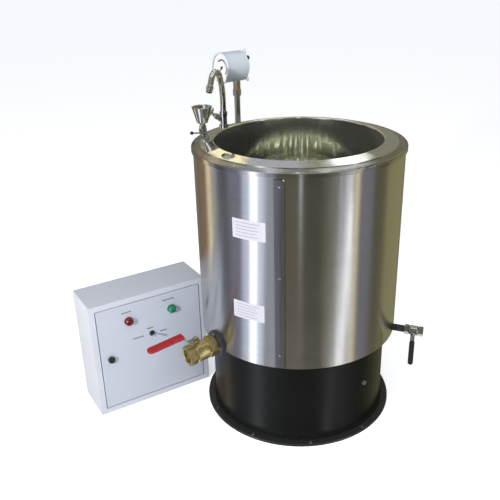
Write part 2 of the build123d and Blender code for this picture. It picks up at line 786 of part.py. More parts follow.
grip_length = cock_grip_end - cock_grip_start
cock_grip = Plane.YZ.offset(cock_lever_low + cock_lever_sheet / 2 - cock_grip_thickness / 2) * extrude(
    Pos(0, -cock_grip_start - grip_length / 2)
    * RectangleRounded(cock_grip_width, grip_length, cock_grip_width / 2 - 0.5), cock_grip_thickness)
cock_grip = fillet(cock_grip.edges().filter_by(Axis.Z), 3)
cock_grip -= cock_lever
save("level_cock_grip", cock_out * side_out * cock_grip)

# Gauge: coupling, brass adapter, case with three lugs, bezel, glass, dial, pointer, gland
gauge_spot = at(gauge_azimuth, gauge_reach, 0)
coupling = ring(coupling_radius, riser_radius + running_gap, coupling_bottom, riser_top)
coupling += ring(coupling_radius, adapter_spigot + running_gap, riser_top, coupling_top)
coupling = chamfer(coupling.edges().filter_by(GeomType.CIRCLE).sort_by(SortBy.RADIUS)[-2:], 1)
save("riser_coupling", gauge_spot * coupling)

gauge_low = gauge_height - gauge_case_radius
adapter = up * hexagon(adapter_hex, coupling_top, gauge_low - 2)
adapter += ring(adapter_spigot, 0, riser_top + 1, gauge_low + 4)
adapter -= ring(3, 0, riser_top, gauge_low + 5)
gauge_centre = gauge_spot * Pos(0, 0, gauge_height) * Rot(0, 0, gauge_facing - gauge_azimuth)
case_outline = [
    (gauge_rear, 0), (gauge_rear, gauge_case_radius - 5), (gauge_rear + 4, gauge_case_radius),
    (gauge_front, gauge_case_radius), (gauge_front, 0)]
case_round = turned(case_outline, Axis.X)
case = case_round + Pos(0, 0, -gauge_case_radius + 2) * ring(adapter_spigot + 4, 0, -4, 4)
for number in range(lug_count):
    lug = Plane.YZ.offset(gauge_rear) * extrude(
        Pos(0, lug_reach / 2) * RectangleRounded(lug_width, lug_reach, lug_width / 2 - 1), lug_sheet)
    lug -= Pos(0, 0, lug_reach - lug_hole) * disc(lug_hole / 2, gauge_rear - 1, gauge_rear + 5)
    case += Rot(lug_first + number * 360 / lug_count, 0, 0) * lug
case -= disc(gauge_case_radius - gauge_wall, gauge_rear + gauge_wall, gauge_front + 1)
case -= Pos(0, 0, -gauge_case_radius) * ring(adapter_spigot + running_gap, 0, -9, 4)
gland_spot = Pos(gauge_rear, gland_side, gland_up) * Rot(0, 0, 180)
case -= gland_spot * disc(4, -4, 1)
save("gauge_case", gauge_centre * case)
save("gauge_adapter", gauge_spot * adapter)

bezel_low = gauge_front - bezel_width / 2
bezel_high = gauge_front + bezel_width / 2
bezel = turned([
    (bezel_low, gauge_case_radius), (bezel_low, bezel_radius - 0.6), (bezel_low + 0.6, bezel_radius),
    (bezel_high - 2, bezel_radius), (bezel_high, bezel_radius - 2), (bezel_high, bezel_radius - bezel_lip),
    (gauge_front + glass_thickness, gauge_case_radius - bezel_lip),
    (gauge_front, gauge_case_radius - bezel_lip + 1), (gauge_front, gauge_case_radius)], Axis.X)
glass_radius = gauge_case_radius - gauge_wall - running_gap
bezel -= disc(glass_radius, gauge_front - glass_thickness, gauge_front + glass_thickness / 2)
save("gauge_bezel", gauge_centre * bezel)
glass = disc(glass_radius, gauge_front - glass_thickness / 2, gauge_front + glass_thickness / 2)
save("gauge_glass", gauge_centre * glass)
dial = disc(glass_radius, dial_place, dial_place + dial_thickness)
dial -= disc(pointer_shaft + running_gap, dial_place - 1, dial_place + 3)
save("gauge_dial", gauge_centre * dial)

pointer_low = dial_place + dial_thickness + 1
hand = make_face(Polyline(
    (-pointer_width / 2, -pointer_tail), (pointer_width / 2, -pointer_tail), (pointer_width / 2, pointer_length / 2),
    (0.4, pointer_length), (-0.4, pointer_length), (-pointer_width / 2, pointer_length / 2), close=True))
pointer = Plane.YZ.offset(pointer_low) * extrude(hand, pointer_sheet)
pointer += disc(pointer_hub, pointer_low - 0.5, pointer_low + 2)
pointer += disc(pointer_shaft, dial_place - 6, pointer_low)
pointer_rest = 135.0
save("gauge_pointer", gauge_centre * Rot(pointer_rest, 0, 0) * pointer)

gauge_gland = hexagon(gland_across, 0, gland_out - 3)
gauge_gland += turned([(gland_out - 3, 0), (gland_out - 3, gland_across / 2 - 1), (gland_out, gland_across / 2 - 2.5),
                       (gland_out, 0)], Axis.X)
gauge_gland += disc(4 - running_gap, -gauge_wall - 3, 0)
gauge_gland -= disc(2.2, gland_out - 6, gland_out + 1)
save("gauge_gland", gauge_centre * gland_spot * gauge_gland)

# Tap: column on the collar with a side boss, swan neck that swivels on it, aerator
cone = below(collar_height, mouth_radius - 40, collar_radius + 20)
base = ring(column_base_radius, 0, collar_height(collar_radius), column_base)
column = (tap_place * base) - cone
column += tap_place * ring(column_radius, 0, column_base - 4, column_top)
column += tap_place * ring(column_collar_radius, 0, column_top - column_collar, column_top)
column += tap_place * ring(column_tail_radius, 0, column_tail, column_base)
bonnet_place = tap_place * Pos(0, 0, bonnet_height) * Rot(0, 0, bonnet_azimuth - tap_azimuth)
bonnet_place = bonnet_place * Rot(0, -bonnet_rise, 0)
column += bonnet_place * disc(boss_radius, 0, boss_end)
column -= tap_place * ring(column_bore_radius, 0, column_tail - 1, column_top + 1)
column -= bonnet_place * disc(boss_radius - 3, 0, boss_end + 1)
save("tap_column", column)

neck_start = column_top + small_gap
neck_rise = Line((0, neck_start), (0, neck_start + neck_straight))
neck_lean = JernArc(neck_rise @ 1, neck_rise % 1, neck_first_radius, -neck_first_turn)
neck_crook = JernArc(neck_lean @ 1, neck_lean % 1, neck_second_radius, -neck_second_turn)
neck_end = Line(neck_crook @ 1, neck_crook @ 1 + neck_outlet * (neck_crook % 1))
neck_line = Plane.XZ * Wire([neck_rise, neck_lean, neck_crook, neck_end])
neck_place = tap_place * Rot(0, 0, neck_azimuth - tap_azimuth)
neck = pipe(neck_line, neck_tube_radius, neck_tube_radius - neck_tube_wall)
neck += ring(neck_foot_radius, neck_tube_radius - neck_tube_wall, neck_start, neck_start + neck_foot)
neck += ring(neck_foot_radius, sleeve_bore_radius, neck_start, neck_start + sleeve_floor)
neck += ring(column_bore_radius - running_gap, sleeve_bore_radius, column_top - sleeve_depth, neck_start + 1)
save("swan_neck", neck_place * neck)

mouth = Plane(origin=neck_line @ 1, z_dir=neck_line % 1)
aerator = Plane.XZ * make_face(Polyline(
    (neck_tube_radius - neck_tube_wall, 0), (aerator_radius - 1, 0), (aerator_radius, 1.5),
    (aerator_radius, 11), (aerator_radius - 1.5, 12), (aerator_radius - 1.5, aerator_length - 1),
    (aerator_radius - 2.5, aerator_length), (neck_tube_radius - neck_tube_wall, aerator_length), close=True))
aerator = revolve(aerator, axis=Axis.Z)
save("spout_aerator", neck_place * mouth.location * aerator)

hex_end = boss_end + bonnet_hex_length
bonnet = disc(boss_radius - 3 - running_gap, boss_end - 8, boss_end) + hexagon(bonnet_hex, boss_end, hex_end)
bonnet += turned([(hex_end, 0), (hex_end, 8), (bonnet_end, 6), (bonnet_end, 0)], Axis.X)
bonnet += disc(spindle_radius, bonnet_end, spindle_end)
save("tap_bonnet", bonnet_place * bonnet)

handle = turned([
    (handle_start, 0), (handle_start, handle_hub_radius - 2), (handle_start + 3, handle_hub_radius),
    (handle_end - 3, handle_hub_radius), (handle_end, handle_hub_radius - 3), (handle_end, 0)], Axis.X)
arm_place = (handle_start + handle_end) / 2
for number in range(handle_arms):
    arm = ring(handle_arm, 0, 0, handle_reach - handle_arm)
    arm += Pos(0, 0, handle_reach - handle_arm) * Sphere(handle_arm + 0.4)
    handle += Rot(45 + number * 360 / handle_arms, 0, 0) * Pos(arm_place, 0, 0) * arm
handle -= disc(spindle_radius + running_gap, handle_start - 1, spindle_end + running_gap)
save("tap_handle", bonnet_place * handle)

# Filling funnel on its valve
funnel_spot = at(funnel_azimuth, funnel_reach, 0)
deck_cone = below(deck_height, collar_radius - 2, casing_radius)
neck_low = deck_height(casing_radius) - 2
valve = turned([
    (0, neck_low), (small_neck_radius, neck_low), (small_neck_radius, small_barrel_low),
    (small_barrel_radius - 1, small_barrel_low), (small_barrel_radius, small_barrel_low + 1),
    (small_barrel_radius, small_barrel_high), (small_hex / 2, small_hex_low), (0, small_hex_low)])
valve += up * hexagon(small_hex, small_hex_low, small_valve_top)
valve = funnel_spot * valve - deck_cone
stem_out = funnel_spot * Pos(0, 0, small_valve_centre) * Rot(0, 0, small_stem_azimuth - funnel_azimuth)
valve += stem_out * disc(small_boss_radius, 0, small_boss_end)
valve -= funnel_spot * ring(small_bore_radius, 0, funnel_base - 20, small_valve_top + 1)
valve -= funnel_spot * ring(fill_radius, 0, funnel_base - 20, funnel_base + small_gap)
valve -= funnel_spot * ring(funnel_foot_radius, 0, funnel_foot, small_valve_top + 1)
valve -= stem_out * Sphere(small_ball + running_gap)
valve -= stem_out * disc(small_stem + running_gap, 0, small_boss_end + 1)
save("funnel_valve_body", valve)
small_plug = Sphere(small_ball) + disc(small_stem, 0, small_lever_end + 1.5)
small_plug -= Rot(90, 0, 0) * Cylinder(small_bore_radius, 3 * small_ball)
save("funnel_plug", stem_out * small_plug)

lever_middle = (small_lever_place + small_lever_end) / 2
small_lever = disc(small_lever_hub, small_lever_place, small_lever_end)
small_lever += Pos(lever_middle, -small_lever_reach / 2, 0) * Rot(90, 0, 0) * Cylinder(
    small_lever_rod, small_lever_reach)
small_lever -= disc(small_stem + running_gap, 0, 2 * small_lever_end)
save("funnel_lever", stem_out * small_lever)
knob = Pos(lever_middle, -small_lever_reach, 0) * Sphere(knob_radius) - small_lever
save("funnel_knob", stem_out * knob)

funnel_section = folded(
    [(funnel_foot_radius - funnel_wall, funnel_foot), (funnel_foot_radius - funnel_wall, funnel_low - 5),
     (funnel_low_radius, funnel_low), (funnel_radius - 1.5, funnel_top - 2), (funnel_radius, funnel_top)],
    (2.0, 5.0, 1.0), funnel_wall, Side.RIGHT)
save("filling_funnel", funnel_spot * revolve(Plane.XZ * funnel_section, axis=Axis.Z))

# Control cabinet: a folded box with a front frame, and the flush door on two pivot pins
half_width = cabinet_width / 2
opening_half = half_width - frame_width
middle_z = cabinet_height / 2
front = Pos(cabinet_centre_x, cabinet_front_y, 0)


def slab(half_x, low_y, high_y, low_z, high_z, centre_x=0.0):
    """A box by its half width, its depth behind the front face and its heights."""
    box = Box(2 * half_x, high_y - low_y, high_z - low_z)
    return front * Pos(centre_x, (low_y + high_y) / 2, (low_z + high_z) / 2) * box


def out(place_x, place_z):
    """A frame on the front face whose X points out of the cabinet."""
    return front * Pos(place_x, 0, place_z) * Rot(0, 0, -90)


open_low = frame_width
open_high = cabinet_height - frame_width
cabinet = slab(half_width, 0, cabinet_depth, 0, cabinet_height)
cabinet = fillet(cabinet.edges().filter_by(Axis.Y), 2.0)
cabinet -= slab(half_width - cabinet_sheet, cabinet_sheet, cabinet_depth - cabinet_sheet,
                cabinet_sheet, cabinet_height - cabinet_sheet)
lip = cabinet_sheet
cabinet += slab(opening_half + lip, 0, frame_return, open_low - lip, open_high + lip)
cabinet -= slab(opening_half, -1, frame_return + 1, open_low, open_high)
hinge_x = opening_half - door_gap - pin_inset
hinge_y = pin_inset
pins = []
for level in (open_low, open_high):
    pins.append(front * Pos(hinge_x, hinge_y, level) * Cylinder(pin_radius, 2 * pin_reach))
pin_clear = front * Pos(hinge_x, hinge_y, middle_z) * Cylinder(pin_radius + running_gap, cabinet_height)
cabinet -= pin_clear & slab(opening_half, 0, frame_return, frame_width - 12, cabinet_height - frame_width + 12)
for side in (-1, 1):
    for level in (-1, 1):
        cabinet -= front * Pos(side * wall_hole_pitch / 2, cabinet_depth, middle_z + level * wall_hole_pitch / 2) \
            * Rot(90, 0, 0) * Cylinder(wall_hole / 2, 10)
save("cabinet_box", cabinet)
save("door_pins", Compound(children=pins))

door_half = opening_half - door_gap
door_low = open_low + door_gap
door_high = open_high - door_gap
door = slab(door_half, 0, door_depth, door_low, door_high)
door = fillet(door.edges().sort_by(Axis.Y)[:4], 1.2)
door -= slab(door_half - cabinet_sheet, cabinet_sheet, door_depth + 1, door_low + cabinet_sheet,
             door_high - cabinet_sheet)
lock_x = -door_half + lock_inset
lamp_spots = {"red_lamp": out(-lamp_half_pitch, lamp_height), "green_lamp": out(lamp_half_pitch, lamp_height)}
switch_out = out(0, switch_height)
lock_out = out(lock_x, lock_height)
for spot in lamp_spots.values():
    door -= spot * disc(lamp_hole / 2, -10, 10)
door -= switch_out * disc(switch_hole / 2, -10, 10)
door -= lock_out * disc(lock_barrel + running_gap, -10, 10)
door -= pin_clear
save("cabinet_door", door)

lamp = turned([
    (-lamp_rear, 0), (-lamp_rear, lamp_hole / 2 - 1), (-cabinet_sheet - lamp_nut_thickness, lamp_hole / 2 - 1),
    (-cabinet_sheet - lamp_nut_thickness, lamp_nut), (-cabinet_sheet, lamp_nut),
    (-cabinet_sheet, lamp_hole / 2 - running_gap), (0, lamp_hole / 2 - running_gap), (0, lamp_bezel),
    (lamp_bezel_height, lamp_bezel - 0.6), (lamp_bezel_height, lamp_lens), (lamp_lens_height - 5, lamp_lens),
    (lamp_lens_height - 1.5, lamp_lens - 3.5), (lamp_lens_height, 0)], Axis.X)
for name, spot in lamp_spots.items():
    save(name, spot * lamp)

switch = Pos(-cabinet_sheet - switch_block / 2, 0, 0) * Box(switch_block, switch_width, switch_width + 8)
switch += disc(switch_hole / 2 - running_gap, -cabinet_sheet, switch_bush)
switch += hexagon(switch_nut, 0, switch_nut_thickness)
switch -= Pos(bat_pivot, 0, 0) * Sphere(bat_ball + running_gap)
switch -= turned([(bat_pivot, 0), (bat_pivot, bat_root), (bat_pivot + bat_ball, bat_root + 1.6),
                  (switch_bush + 1, bat_root + 1.8), (switch_bush + 1, 0)], Axis.X)
save("toggle_body", switch_out * switch)
bat = turned([
    (bat_pivot, 0), (bat_pivot, bat_root), (switch_bush, bat_root),
    (switch_bush + bat_length - 6, bat_tip), (switch_bush + bat_length - 2, bat_tip),
    (switch_bush + bat_length, bat_tip - 2), (switch_bush + bat_length, 0)], Axis.X)
bat += Pos(bat_pivot, 0, 0) * Sphere(bat_ball)
save("toggle_lever", switch_out * bat)

lock = disc(lock_radius, 0, lock_head) + disc(lock_barrel, -cam_place - cam_sheet, 0)
lock -= Pos(lock_head, 0, 0) * Box(4, lock_slot, 1.6 * lock_radius)
cam_shape = Plane.YZ.offset(-cam_place - cam_sheet) * extrude(
    Pos(0, -cam_length / 2 + cam_width / 4) * RectangleRounded(cam_width, cam_length + cam_width / 2, cam_width / 2 - 0.5),
    cam_sheet)
save("door_lock", lock_out * (lock + cam_shape))

# Mounting plate on four feet, with the contactor
plate_back = cabinet_depth - cabinet_sheet
plate_y = plate_back - plate_stand
plate_half = plate_size / 2
mounting = slab(plate_half, plate_y - plate_sheet, plate_y, middle_z - plate_half, middle_z + plate_half)
for side in (-1, 1):
    for level in (-1, 1):
        mounting += slab(plate_foot / 2, plate_y, plate_back, middle_z + level * (plate_half - 20) - plate_foot / 2,
                         middle_z + level * (plate_half - 20) + plate_foot / 2, side * (plate_half - 20))
save("mounting_plate", mounting)

contactor_face = plate_y - plate_sheet
contactor_place = Pos(contactor_x, cabinet_front_y + contactor_face, contactor_z)
low_block = Box(contactor_width, contactor_depth * 0.6, contactor_height, align=(Align.CENTER, Align.MAX, Align.CENTER))
high_block = Box(contactor_width, contactor_depth, contactor_height * 0.5, align=(Align.CENTER, Align.MAX, Align.CENTER))
contactor = contactor_place * fillet((low_block + high_block).edges().filter_by(Axis.X), 1.5)
for number in (-1, 0, 1):
    for level in (-1, 1):
        spot = Pos(number * contactor_width / 3.4, -contactor_depth * 0.6, level * contactor_height * 0.38)
        contactor -= contactor_place * spot * Rot(90, 0, 0) * Cylinder(3.2, 12)
save("contactor", contactor)
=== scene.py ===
# %% [markdown]
# # A steam cooking kettle, dressed for its photograph
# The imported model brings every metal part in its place. This lesson adds what the eye looks for:
# brushed and polished steel, dull brass, powder coat, and the small things that are too fine for
# the solid model. All lengths are metres, Z is up, and the kettle stands on the origin.

# %% Load the frame
import bpy
import bmesh
from math import cos, pi, radians, sin, sqrt
from mathutils import Matrix, Vector


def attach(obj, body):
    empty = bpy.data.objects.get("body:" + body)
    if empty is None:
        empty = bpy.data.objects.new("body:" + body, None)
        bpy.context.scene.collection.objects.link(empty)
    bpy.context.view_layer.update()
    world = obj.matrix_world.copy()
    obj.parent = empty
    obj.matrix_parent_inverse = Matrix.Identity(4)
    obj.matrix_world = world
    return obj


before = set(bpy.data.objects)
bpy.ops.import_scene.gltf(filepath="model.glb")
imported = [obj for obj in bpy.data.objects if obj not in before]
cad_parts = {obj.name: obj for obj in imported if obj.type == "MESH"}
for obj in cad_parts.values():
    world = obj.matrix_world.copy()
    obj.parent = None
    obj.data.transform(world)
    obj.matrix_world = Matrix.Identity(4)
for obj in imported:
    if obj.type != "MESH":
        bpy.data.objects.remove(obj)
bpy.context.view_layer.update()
scene = bpy.context.scene

# %% [markdown]
# ## The camera
# The photographer stood about two metres away, a little above the rim. The place and the lens were
# worked out from the rings of the kettle and the square cabinet, so the camera is set by its place
# and its three directions and not by eye.

# %% Camera
camera_place = Vector((-1.106519, -1.567429, 1.38204))
camera_right = Vector((0.85396347, -0.51975867, -0.02444001))
camera_up = Vector((0.23127557, 0.33707219, 0.91263024))
camera_back = -Vector((0.46610943, 0.78500526, -0.40805482))
focal_pixels = 663.619
picture_width = 500
camera_data = bpy.data.cameras.new("camera")
camera_data.sensor_width = 36.0
camera_data.lens = focal_pixels * camera_data.sensor_width / picture_width
camera = bpy.data.objects.new("camera", camera_data)
camera.matrix_world = Matrix((camera_right, camera_up, camera_back)).transposed().to_4x4()
camera.matrix_world.translation = camera_place
scene.collection.objects.link(camera)
scene.camera = camera
scene.view_settings.view_transform = "Standard"
print("lens", round(camera_data.lens, 2), "mm")

# %% [markdown]
# ## Making meshes
# The small pieces are turned, bent or cut from thin stock. One helper turns an outline round an
# axis, one sweeps a round section along a line, and one makes a plain slab. Each puts the finished
# points in the kettle's own frame, so a pattern that is tied to the object lines up over neighbours.


# %% Placing
def at(azimuth, reach, height, droop=0.0):
    """A place whose X points away from the kettle's axis."""
    turn = Matrix.Rotation(radians(azimuth), 4, "Z")
    step = Matrix.Translation((reach, 0.0, height))
    return turn @ step @ Matrix.Rotation(radians(droop), 4, "Y")


along_x = Matrix.Rotation(radians(90), 4, "Y")
drain_out = at(183.0, 0.3112, 0.297, 5.0)
print("drain mouth at", [round(c, 4) for c in drain_out @ Vector((0.108, 0, 0))])


# %% From points to an object
def build(name, points, faces, sharp=32.0, place=None):
    """A smooth mesh object whose edges stay crisp where they turn by more than the sharp angle."""
    mesh = bpy.data.meshes.new(name)
    mesh.from_pydata([tuple(place @ Vector(p)) if place else tuple(p) for p in points], [], faces)
    work = bmesh.new()
    work.from_mesh(mesh)
    bmesh.ops.remove_doubles(work, verts=work.verts, dist=1e-7)
    bmesh.ops.recalc_face_normals(work, faces=work.faces)
    work.to_mesh(mesh)
    work.free()
    mesh.shade_smooth()
    mesh.set_sharp_from_angle(angle=radians(sharp))
    thing = bpy.data.objects.new(name, mesh)
    scene.collection.objects.link(thing)
    return thing


def turned(name, outline, steps, place):
    """Turns an outline of (radius, height) round Z."""
    count = len(outline)
    points = []
    for step in range(steps):
        angle = 2 * pi * step / steps
        points += [(r * cos(angle), r * sin(angle), z) for r, z in outline]
    faces = []
    for step in range(steps):
        here, there = step * count, (step + 1) % steps * count
        for k in range(count):
            m = (k + 1) % count
            faces.append((here + k, there + k, there + m, here + m))
    return build(name, points, faces, place=place)


def swept(name, line, radius, sides, place=None):
    """Sweeps a round section along a line of points and closes its two ends."""
    line = [Vector(p) for p in line]
    count = len(line)
    points = []
    faces = []
    normal = None
    for k, spot in enumerate(line):
        ahead = line[min(k + 1, count - 1)] - line[max(k - 1, 0)]
        ahead.normalize()
        if normal is None:
            normal = ahead.orthogonal().normalized()
        normal = (normal - ahead * normal.dot(ahead)).normalized()
        across = ahead.cross(normal)
        for s in range(sides):
            angle = 2 * pi * s / sides
            points.append(spot + normal * cos(angle) * radius + across * sin(angle) * radius)
    for k in range(count - 1):
        here, there = k * sides, (k + 1) * sides
        for s in range(sides):
            m = (s + 1) % sides
            faces.append((here + s, here + m, there + m, there + s))
    faces.append(tuple(range(sides))[::-1])
    faces.append(tuple(range((count - 1) * sides, count * sides)))
    return build(name, points, faces, 40.0, place)


def slab(name, half_x, half_y, half_z, place):
    """A plain block round its own middle."""
    points = [(x * half_x, y * half_y, z * half_z) for x in (-1, 1) for y in (-1, 1) for z in (-1, 1)]
    faces = [(0, 1, 3, 2), (4, 6, 7, 5), (0, 4, 5, 1), (2, 3, 7, 6), (0, 2, 6, 4), (1, 5, 7, 3)]
    thing = build(name, points, faces, 40.0)
    thing.data.transform(place)
    return thing


def joined(name, things):
    """Makes one object of several like ones."""
    base = things[0]
    work = bmesh.new()
    for thing in things:
        work.from_mesh(thing.data)
    work.to_mesh(base.data)
    work.free()
    base.data.shade_smooth()
    base.data.set_sharp_from_angle(angle=radians(35))
    for thing in things[1:]:
        bpy.data.objects.remove(thing)
    base.name = name
    return base


print("mesh helpers ready")

# %% [markdown]
# ## Shader sums
# A finish is easier to read as sums than as boxes and wires. One small class stands for a value
# that travels through the nodes, and adds a Math node for each sign. Colours and directions go
# through their own mix and vector nodes, because a Math node would turn a colour grey.


# %% A value in a finish
class Value:
    def __init__(self, finish, socket):
        self.finish = finish
        self.socket = socket

    def sum(self, operation, *values):
        return self.finish.node("Math", {"operation": operation}, *values)

    def __add__(self, other):
        return self.sum("ADD", self, other)

    def __radd__(self, other):
        return self.sum("ADD", other, self)

    def __sub__(self, other):
        return self.sum("SUBTRACT", self, other)

    def __rsub__(self, other):
        return self.sum("SUBTRACT", other, self)

    def __mul__(self, other):
        return self.sum("MULTIPLY", self, other)

    def __rmul__(self, other):
        return self.sum("MULTIPLY", other, self)

    def clipped(self, low, high):
        """0 at low, 1 at high, and held between them."""
        return self.finish.node("MapRange", {"clamp": True}, self, low, high, 0.0, 1.0)


# %% A finish
class Finish:
    """One material. Its node method adds any node: type, settings, then the values of its sockets."""

    def __init__(self, name, colour, **constants):
        self.material = bpy.data.materials.new(name)
        self.material.use_nodes = True
        self.tree = self.material.node_tree
        self.shader = self.tree.nodes["Principled BSDF"]
        self.set("Base Color", colour)
        for socket, value in constants.items():
            self.set(socket.replace("_", " "), value)
        coordinates = self.tree.nodes.new("ShaderNodeTexCoord")
        self.place = Value(self, coordinates.outputs["Object"])

    def set(self, socket, value):
        target = self.shader.inputs[socket]
        if isinstance(value, Value):
            self.tree.links.new(value.socket, target)
        elif target.type == "RGBA":
            target.default_value = (*value[:3], 1.0)
        else:
            target.default_value = value

    def node(self, kind, settings, *values, out=0, **named):
        made = self.tree.nodes.new("ShaderNode" + kind)
        for key, value in settings.items():
            setattr(made, key, value)
        pairs = list(zip(made.inputs, values))
        pairs += [(made.inputs[key.replace("_", " ")], value) for key, value in named.items()]
        for target, value in pairs:
            if isinstance(value, Value):
                self.tree.links.new(value.socket, target)
            elif target.type == "RGBA":
                target.default_value = (*value[:3], 1.0)
            else:
                target.default_value = value
        return Value(self, made.outputs[out])

    def stretched(self, x, y, z):
        """The object's own coordinates, multiplied along each axis."""
        return self.node("VectorMath", {"operation": "MULTIPLY"}, self.place, (x, y, z))

    def noise(self, where, scale, detail=3.0, roughness=0.5):
        return self.node("TexNoise", {"noise_dimensions": "3D"}, Vector=where, Scale=scale,
                         Detail=detail, Roughness=roughness)

    def blend(self, share, first, second):
        """From the first colour to the second."""
        made = self.tree.nodes.new("ShaderNodeMix")
        made.data_type = "RGBA"
        for target, value in ((made.inputs[0], share), (made.inputs[6], first), (made.inputs[7], second)):
            if isinstance(value, Value):
                self.tree.links.new(value.socket, target)
            elif target.type == "RGBA":
                target.default_value = (*value[:3], 1.0)
            else:
                target.default_value = value
        return Value(self, made.outputs[2])

    def bump(self, height, distance, strength=1.0, over=None):
        named = {"Height": height, "Distance": distance, "Strength": strength}
        if over is not None:
            named["Normal"] = over
        return self.node("Bump", {}, **named)


def dress(finish, *names):
    """Gives CAD nodes or pieces a finish."""
    for name in names:
        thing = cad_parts.get(name) or bpy.data.objects[name]
        mesh = thing.data
        if mesh.materials:
            for number in range(len(mesh.materials)):
                mesh.materials[number] = finish.material
        else:
            mesh.materials.append(finish.material)


print("shader helpers ready")

# %% [markdown]
# ## Brushed and polished steel
# The casing is rolled from sheet whose grain runs round the kettle, so a reflection is drawn out
# up and down into long streaks. The shader does this with anisotropy, turned a quarter so that the
# long way is upright. A slow bump stands for the slight waves of thin sheet, and fine noise that is
# stretched round the kettle stands for the grain and the wiped-on cleaning marks.


# %% Steel finishes
quarter_turn = 0.25
smudge = 0.6


def steel(name, colour, rough, stretch=0.0, grain=(5, 5, 900), wave=0.0, wave_scale=4.0, spread=0.08,
          grain_depth=0.00002, rings=0.0, wave_height=0.35, contrast=0.08, metal=1.0):
    """Grain and wiped marks in the roughness and the tone, and a slow wave in the normal.

    With rings, the grain runs round Z in circles, so many to the metre, as on a spun plate.
    """
    made = Finish(name, colour, Metallic=metal, Anisotropic=stretch, Anisotropic_Rotation=quarter_turn)
    if rings:
        reach = made.node("VectorMath", {"operation": "LENGTH"}, made.stretched(rings, rings, 0.0), out=1)
        lines = made.noise(made.node("CombineXYZ", {}, reach, 0.0, 0.0), 1.0, 3.0, 0.6)
    else:
        lines = made.noise(made.stretched(*grain), 1.0, 4.0, 0.6)
    wiped = made.noise(made.place, 7.0, 4.0, 0.6).clipped(0.4, 0.7)
    prints = made.noise(made.place, 26.0, 3.0, 0.55).clipped(0.56, 0.72)
    dullness = rough - spread / 2 + spread * lines + spread * smudge * wiped
    made.set("Roughness", dullness + 0.5 * spread * prints)
    paler = tuple(min(1.0, c * (1 + contrast)) for c in colour)
    darker = tuple(c * (1 - contrast) for c in colour)
    made.set("Base Color", made.blend(lines.clipped(0.3, 0.7), darker, paler))
    height = made.bump(lines, grain_depth, 0.35)
    if wave:
        swell = made.noise(made.stretched(1.0, 1.0, wave_height), wave_scale, 2.0, 0.4)
        height = made.bump(swell, wave, 1.0, over=height)
    made.set("Normal", height)
    return made


casing_steel = steel("casing_steel", (0.62, 0.62, 0.615), 0.215, stretch=1.0, wave=0.0014, wave_scale=3.0,
                     spread=0.05)
deck_steel = steel("deck_steel", (0.52, 0.52, 0.51), 0.2, stretch=0.9, wave=0.0008, wave_scale=7.0,
                   rings=130.0, grain_depth=0.0012, spread=0.14, contrast=0.3)
bowl_steel = steel("bowl_steel", (0.82, 0.83, 0.76), 0.05, stretch=0.3, grain=(90, 90, 6), wave=0.0022,
                   wave_scale=10.0, spread=0.03, wave_height=0.12, metal=0.972)
strip_steel = steel("strip_steel", (0.36, 0.37, 0.41), 0.34, stretch=0.5, grain=(200, 200, 10))
# Near black: the lap edge beside the seam strip, darkened as painted shade of the strip's side
lap_edge_and_shade = steel("lap_edge_and_shade", (0.05, 0.05, 0.05), 0.5, grain=(200, 200, 200))
pipe_steel = steel("pipe_steel", (0.68, 0.68, 0.67), 0.2, grain=(40, 40, 500))
inner_steel = steel("inner_steel", (0.5, 0.5, 0.49), 0.45, grain=(30, 30, 30))
zinc = steel("zinc", (0.55, 0.56, 0.58), 0.36, grain=(120, 120, 120), spread=0.2)
tin = steel("tin", (0.62, 0.63, 0.65), 0.3, grain=(60, 60, 60), spread=0.16)
print("steels", len([m for m in bpy.data.materials if m.use_nodes]))

# %% [markdown]
# ## Chrome, brass and blackened pipe
# Chrome on taps is a clean mirror that is dulled here and there by water spots. The drain valve is
# old brass: brown in the hollows, brighter where hands and spanners have been. The black pipe and
# the round plate keep a rolling scale that shines dully.


# %% Cast and plated finishes
def chrome(name, colour=(0.78, 0.78, 0.79), rough=0.07):
    made = Finish(name, colour, Metallic=1.0)
    cloud = made.noise(made.place, 60.0, 4.0, 0.6)
    spots = made.node("TexVoronoi", {"feature": "F1"}, Vector=made.place, Scale=420.0)
    spotted = 1.0 - spots.clipped(0.12, 0.2)
    made.set("Roughness", rough + 0.14 * cloud.clipped(0.45, 0.75) + 0.12 * spotted)
    made.set("Base Color", made.blend(cloud.clipped(0.3, 0.7), tuple(c * 0.88 for c in colour), colour))
    made.set("Normal", made.bump(cloud, 0.00006, 0.5))
    return made


def brass(name, bright=(0.86, 0.73, 0.36), dull=(0.46, 0.38, 0.16), rough=0.16):
    made = Finish(name, bright, Metallic=1.0)
    cloud = made.noise(made.place, 38.0, 5.0, 0.62)
    fine = made.noise(made.place, 420.0, 3.0, 0.6)
    stain = made.noise(made.place, 120.0, 4.0, 0.7).clipped(0.52, 0.7)
    tone = made.blend(cloud.clipped(0.34, 0.66), dull, bright)
    made.set("Base Color", made.blend(0.35 * stain, tone, (0.13, 0.105, 0.05)))
    made.set("Roughness", rough + 0.22 * (1.0 - cloud.clipped(0.3, 0.7)) + 0.12 * fine)
    made.set("Metallic", 1.0 - 0.25 * stain)
    made.set("Normal", made.bump(fine, 0.00008, 0.6, over=made.bump(cloud, 0.0003, 0.4)))
    return made


def blackened(name, colour, rough, metal):
    made = Finish(name, colour, Metallic=metal)
    cloud = made.noise(made.place, 25.0, 5.0, 0.6)
    fine = made.noise(made.place, 600.0, 3.0, 0.6)
    made.set("Base Color", made.blend(cloud.clipped(0.35, 0.7), colour, tuple(2.1 * c for c in colour)))
    made.set("Roughness", rough + 0.2 * cloud - 0.1)
    made.set("Normal", made.bump(fine, 0.00008, 0.5))
    return made


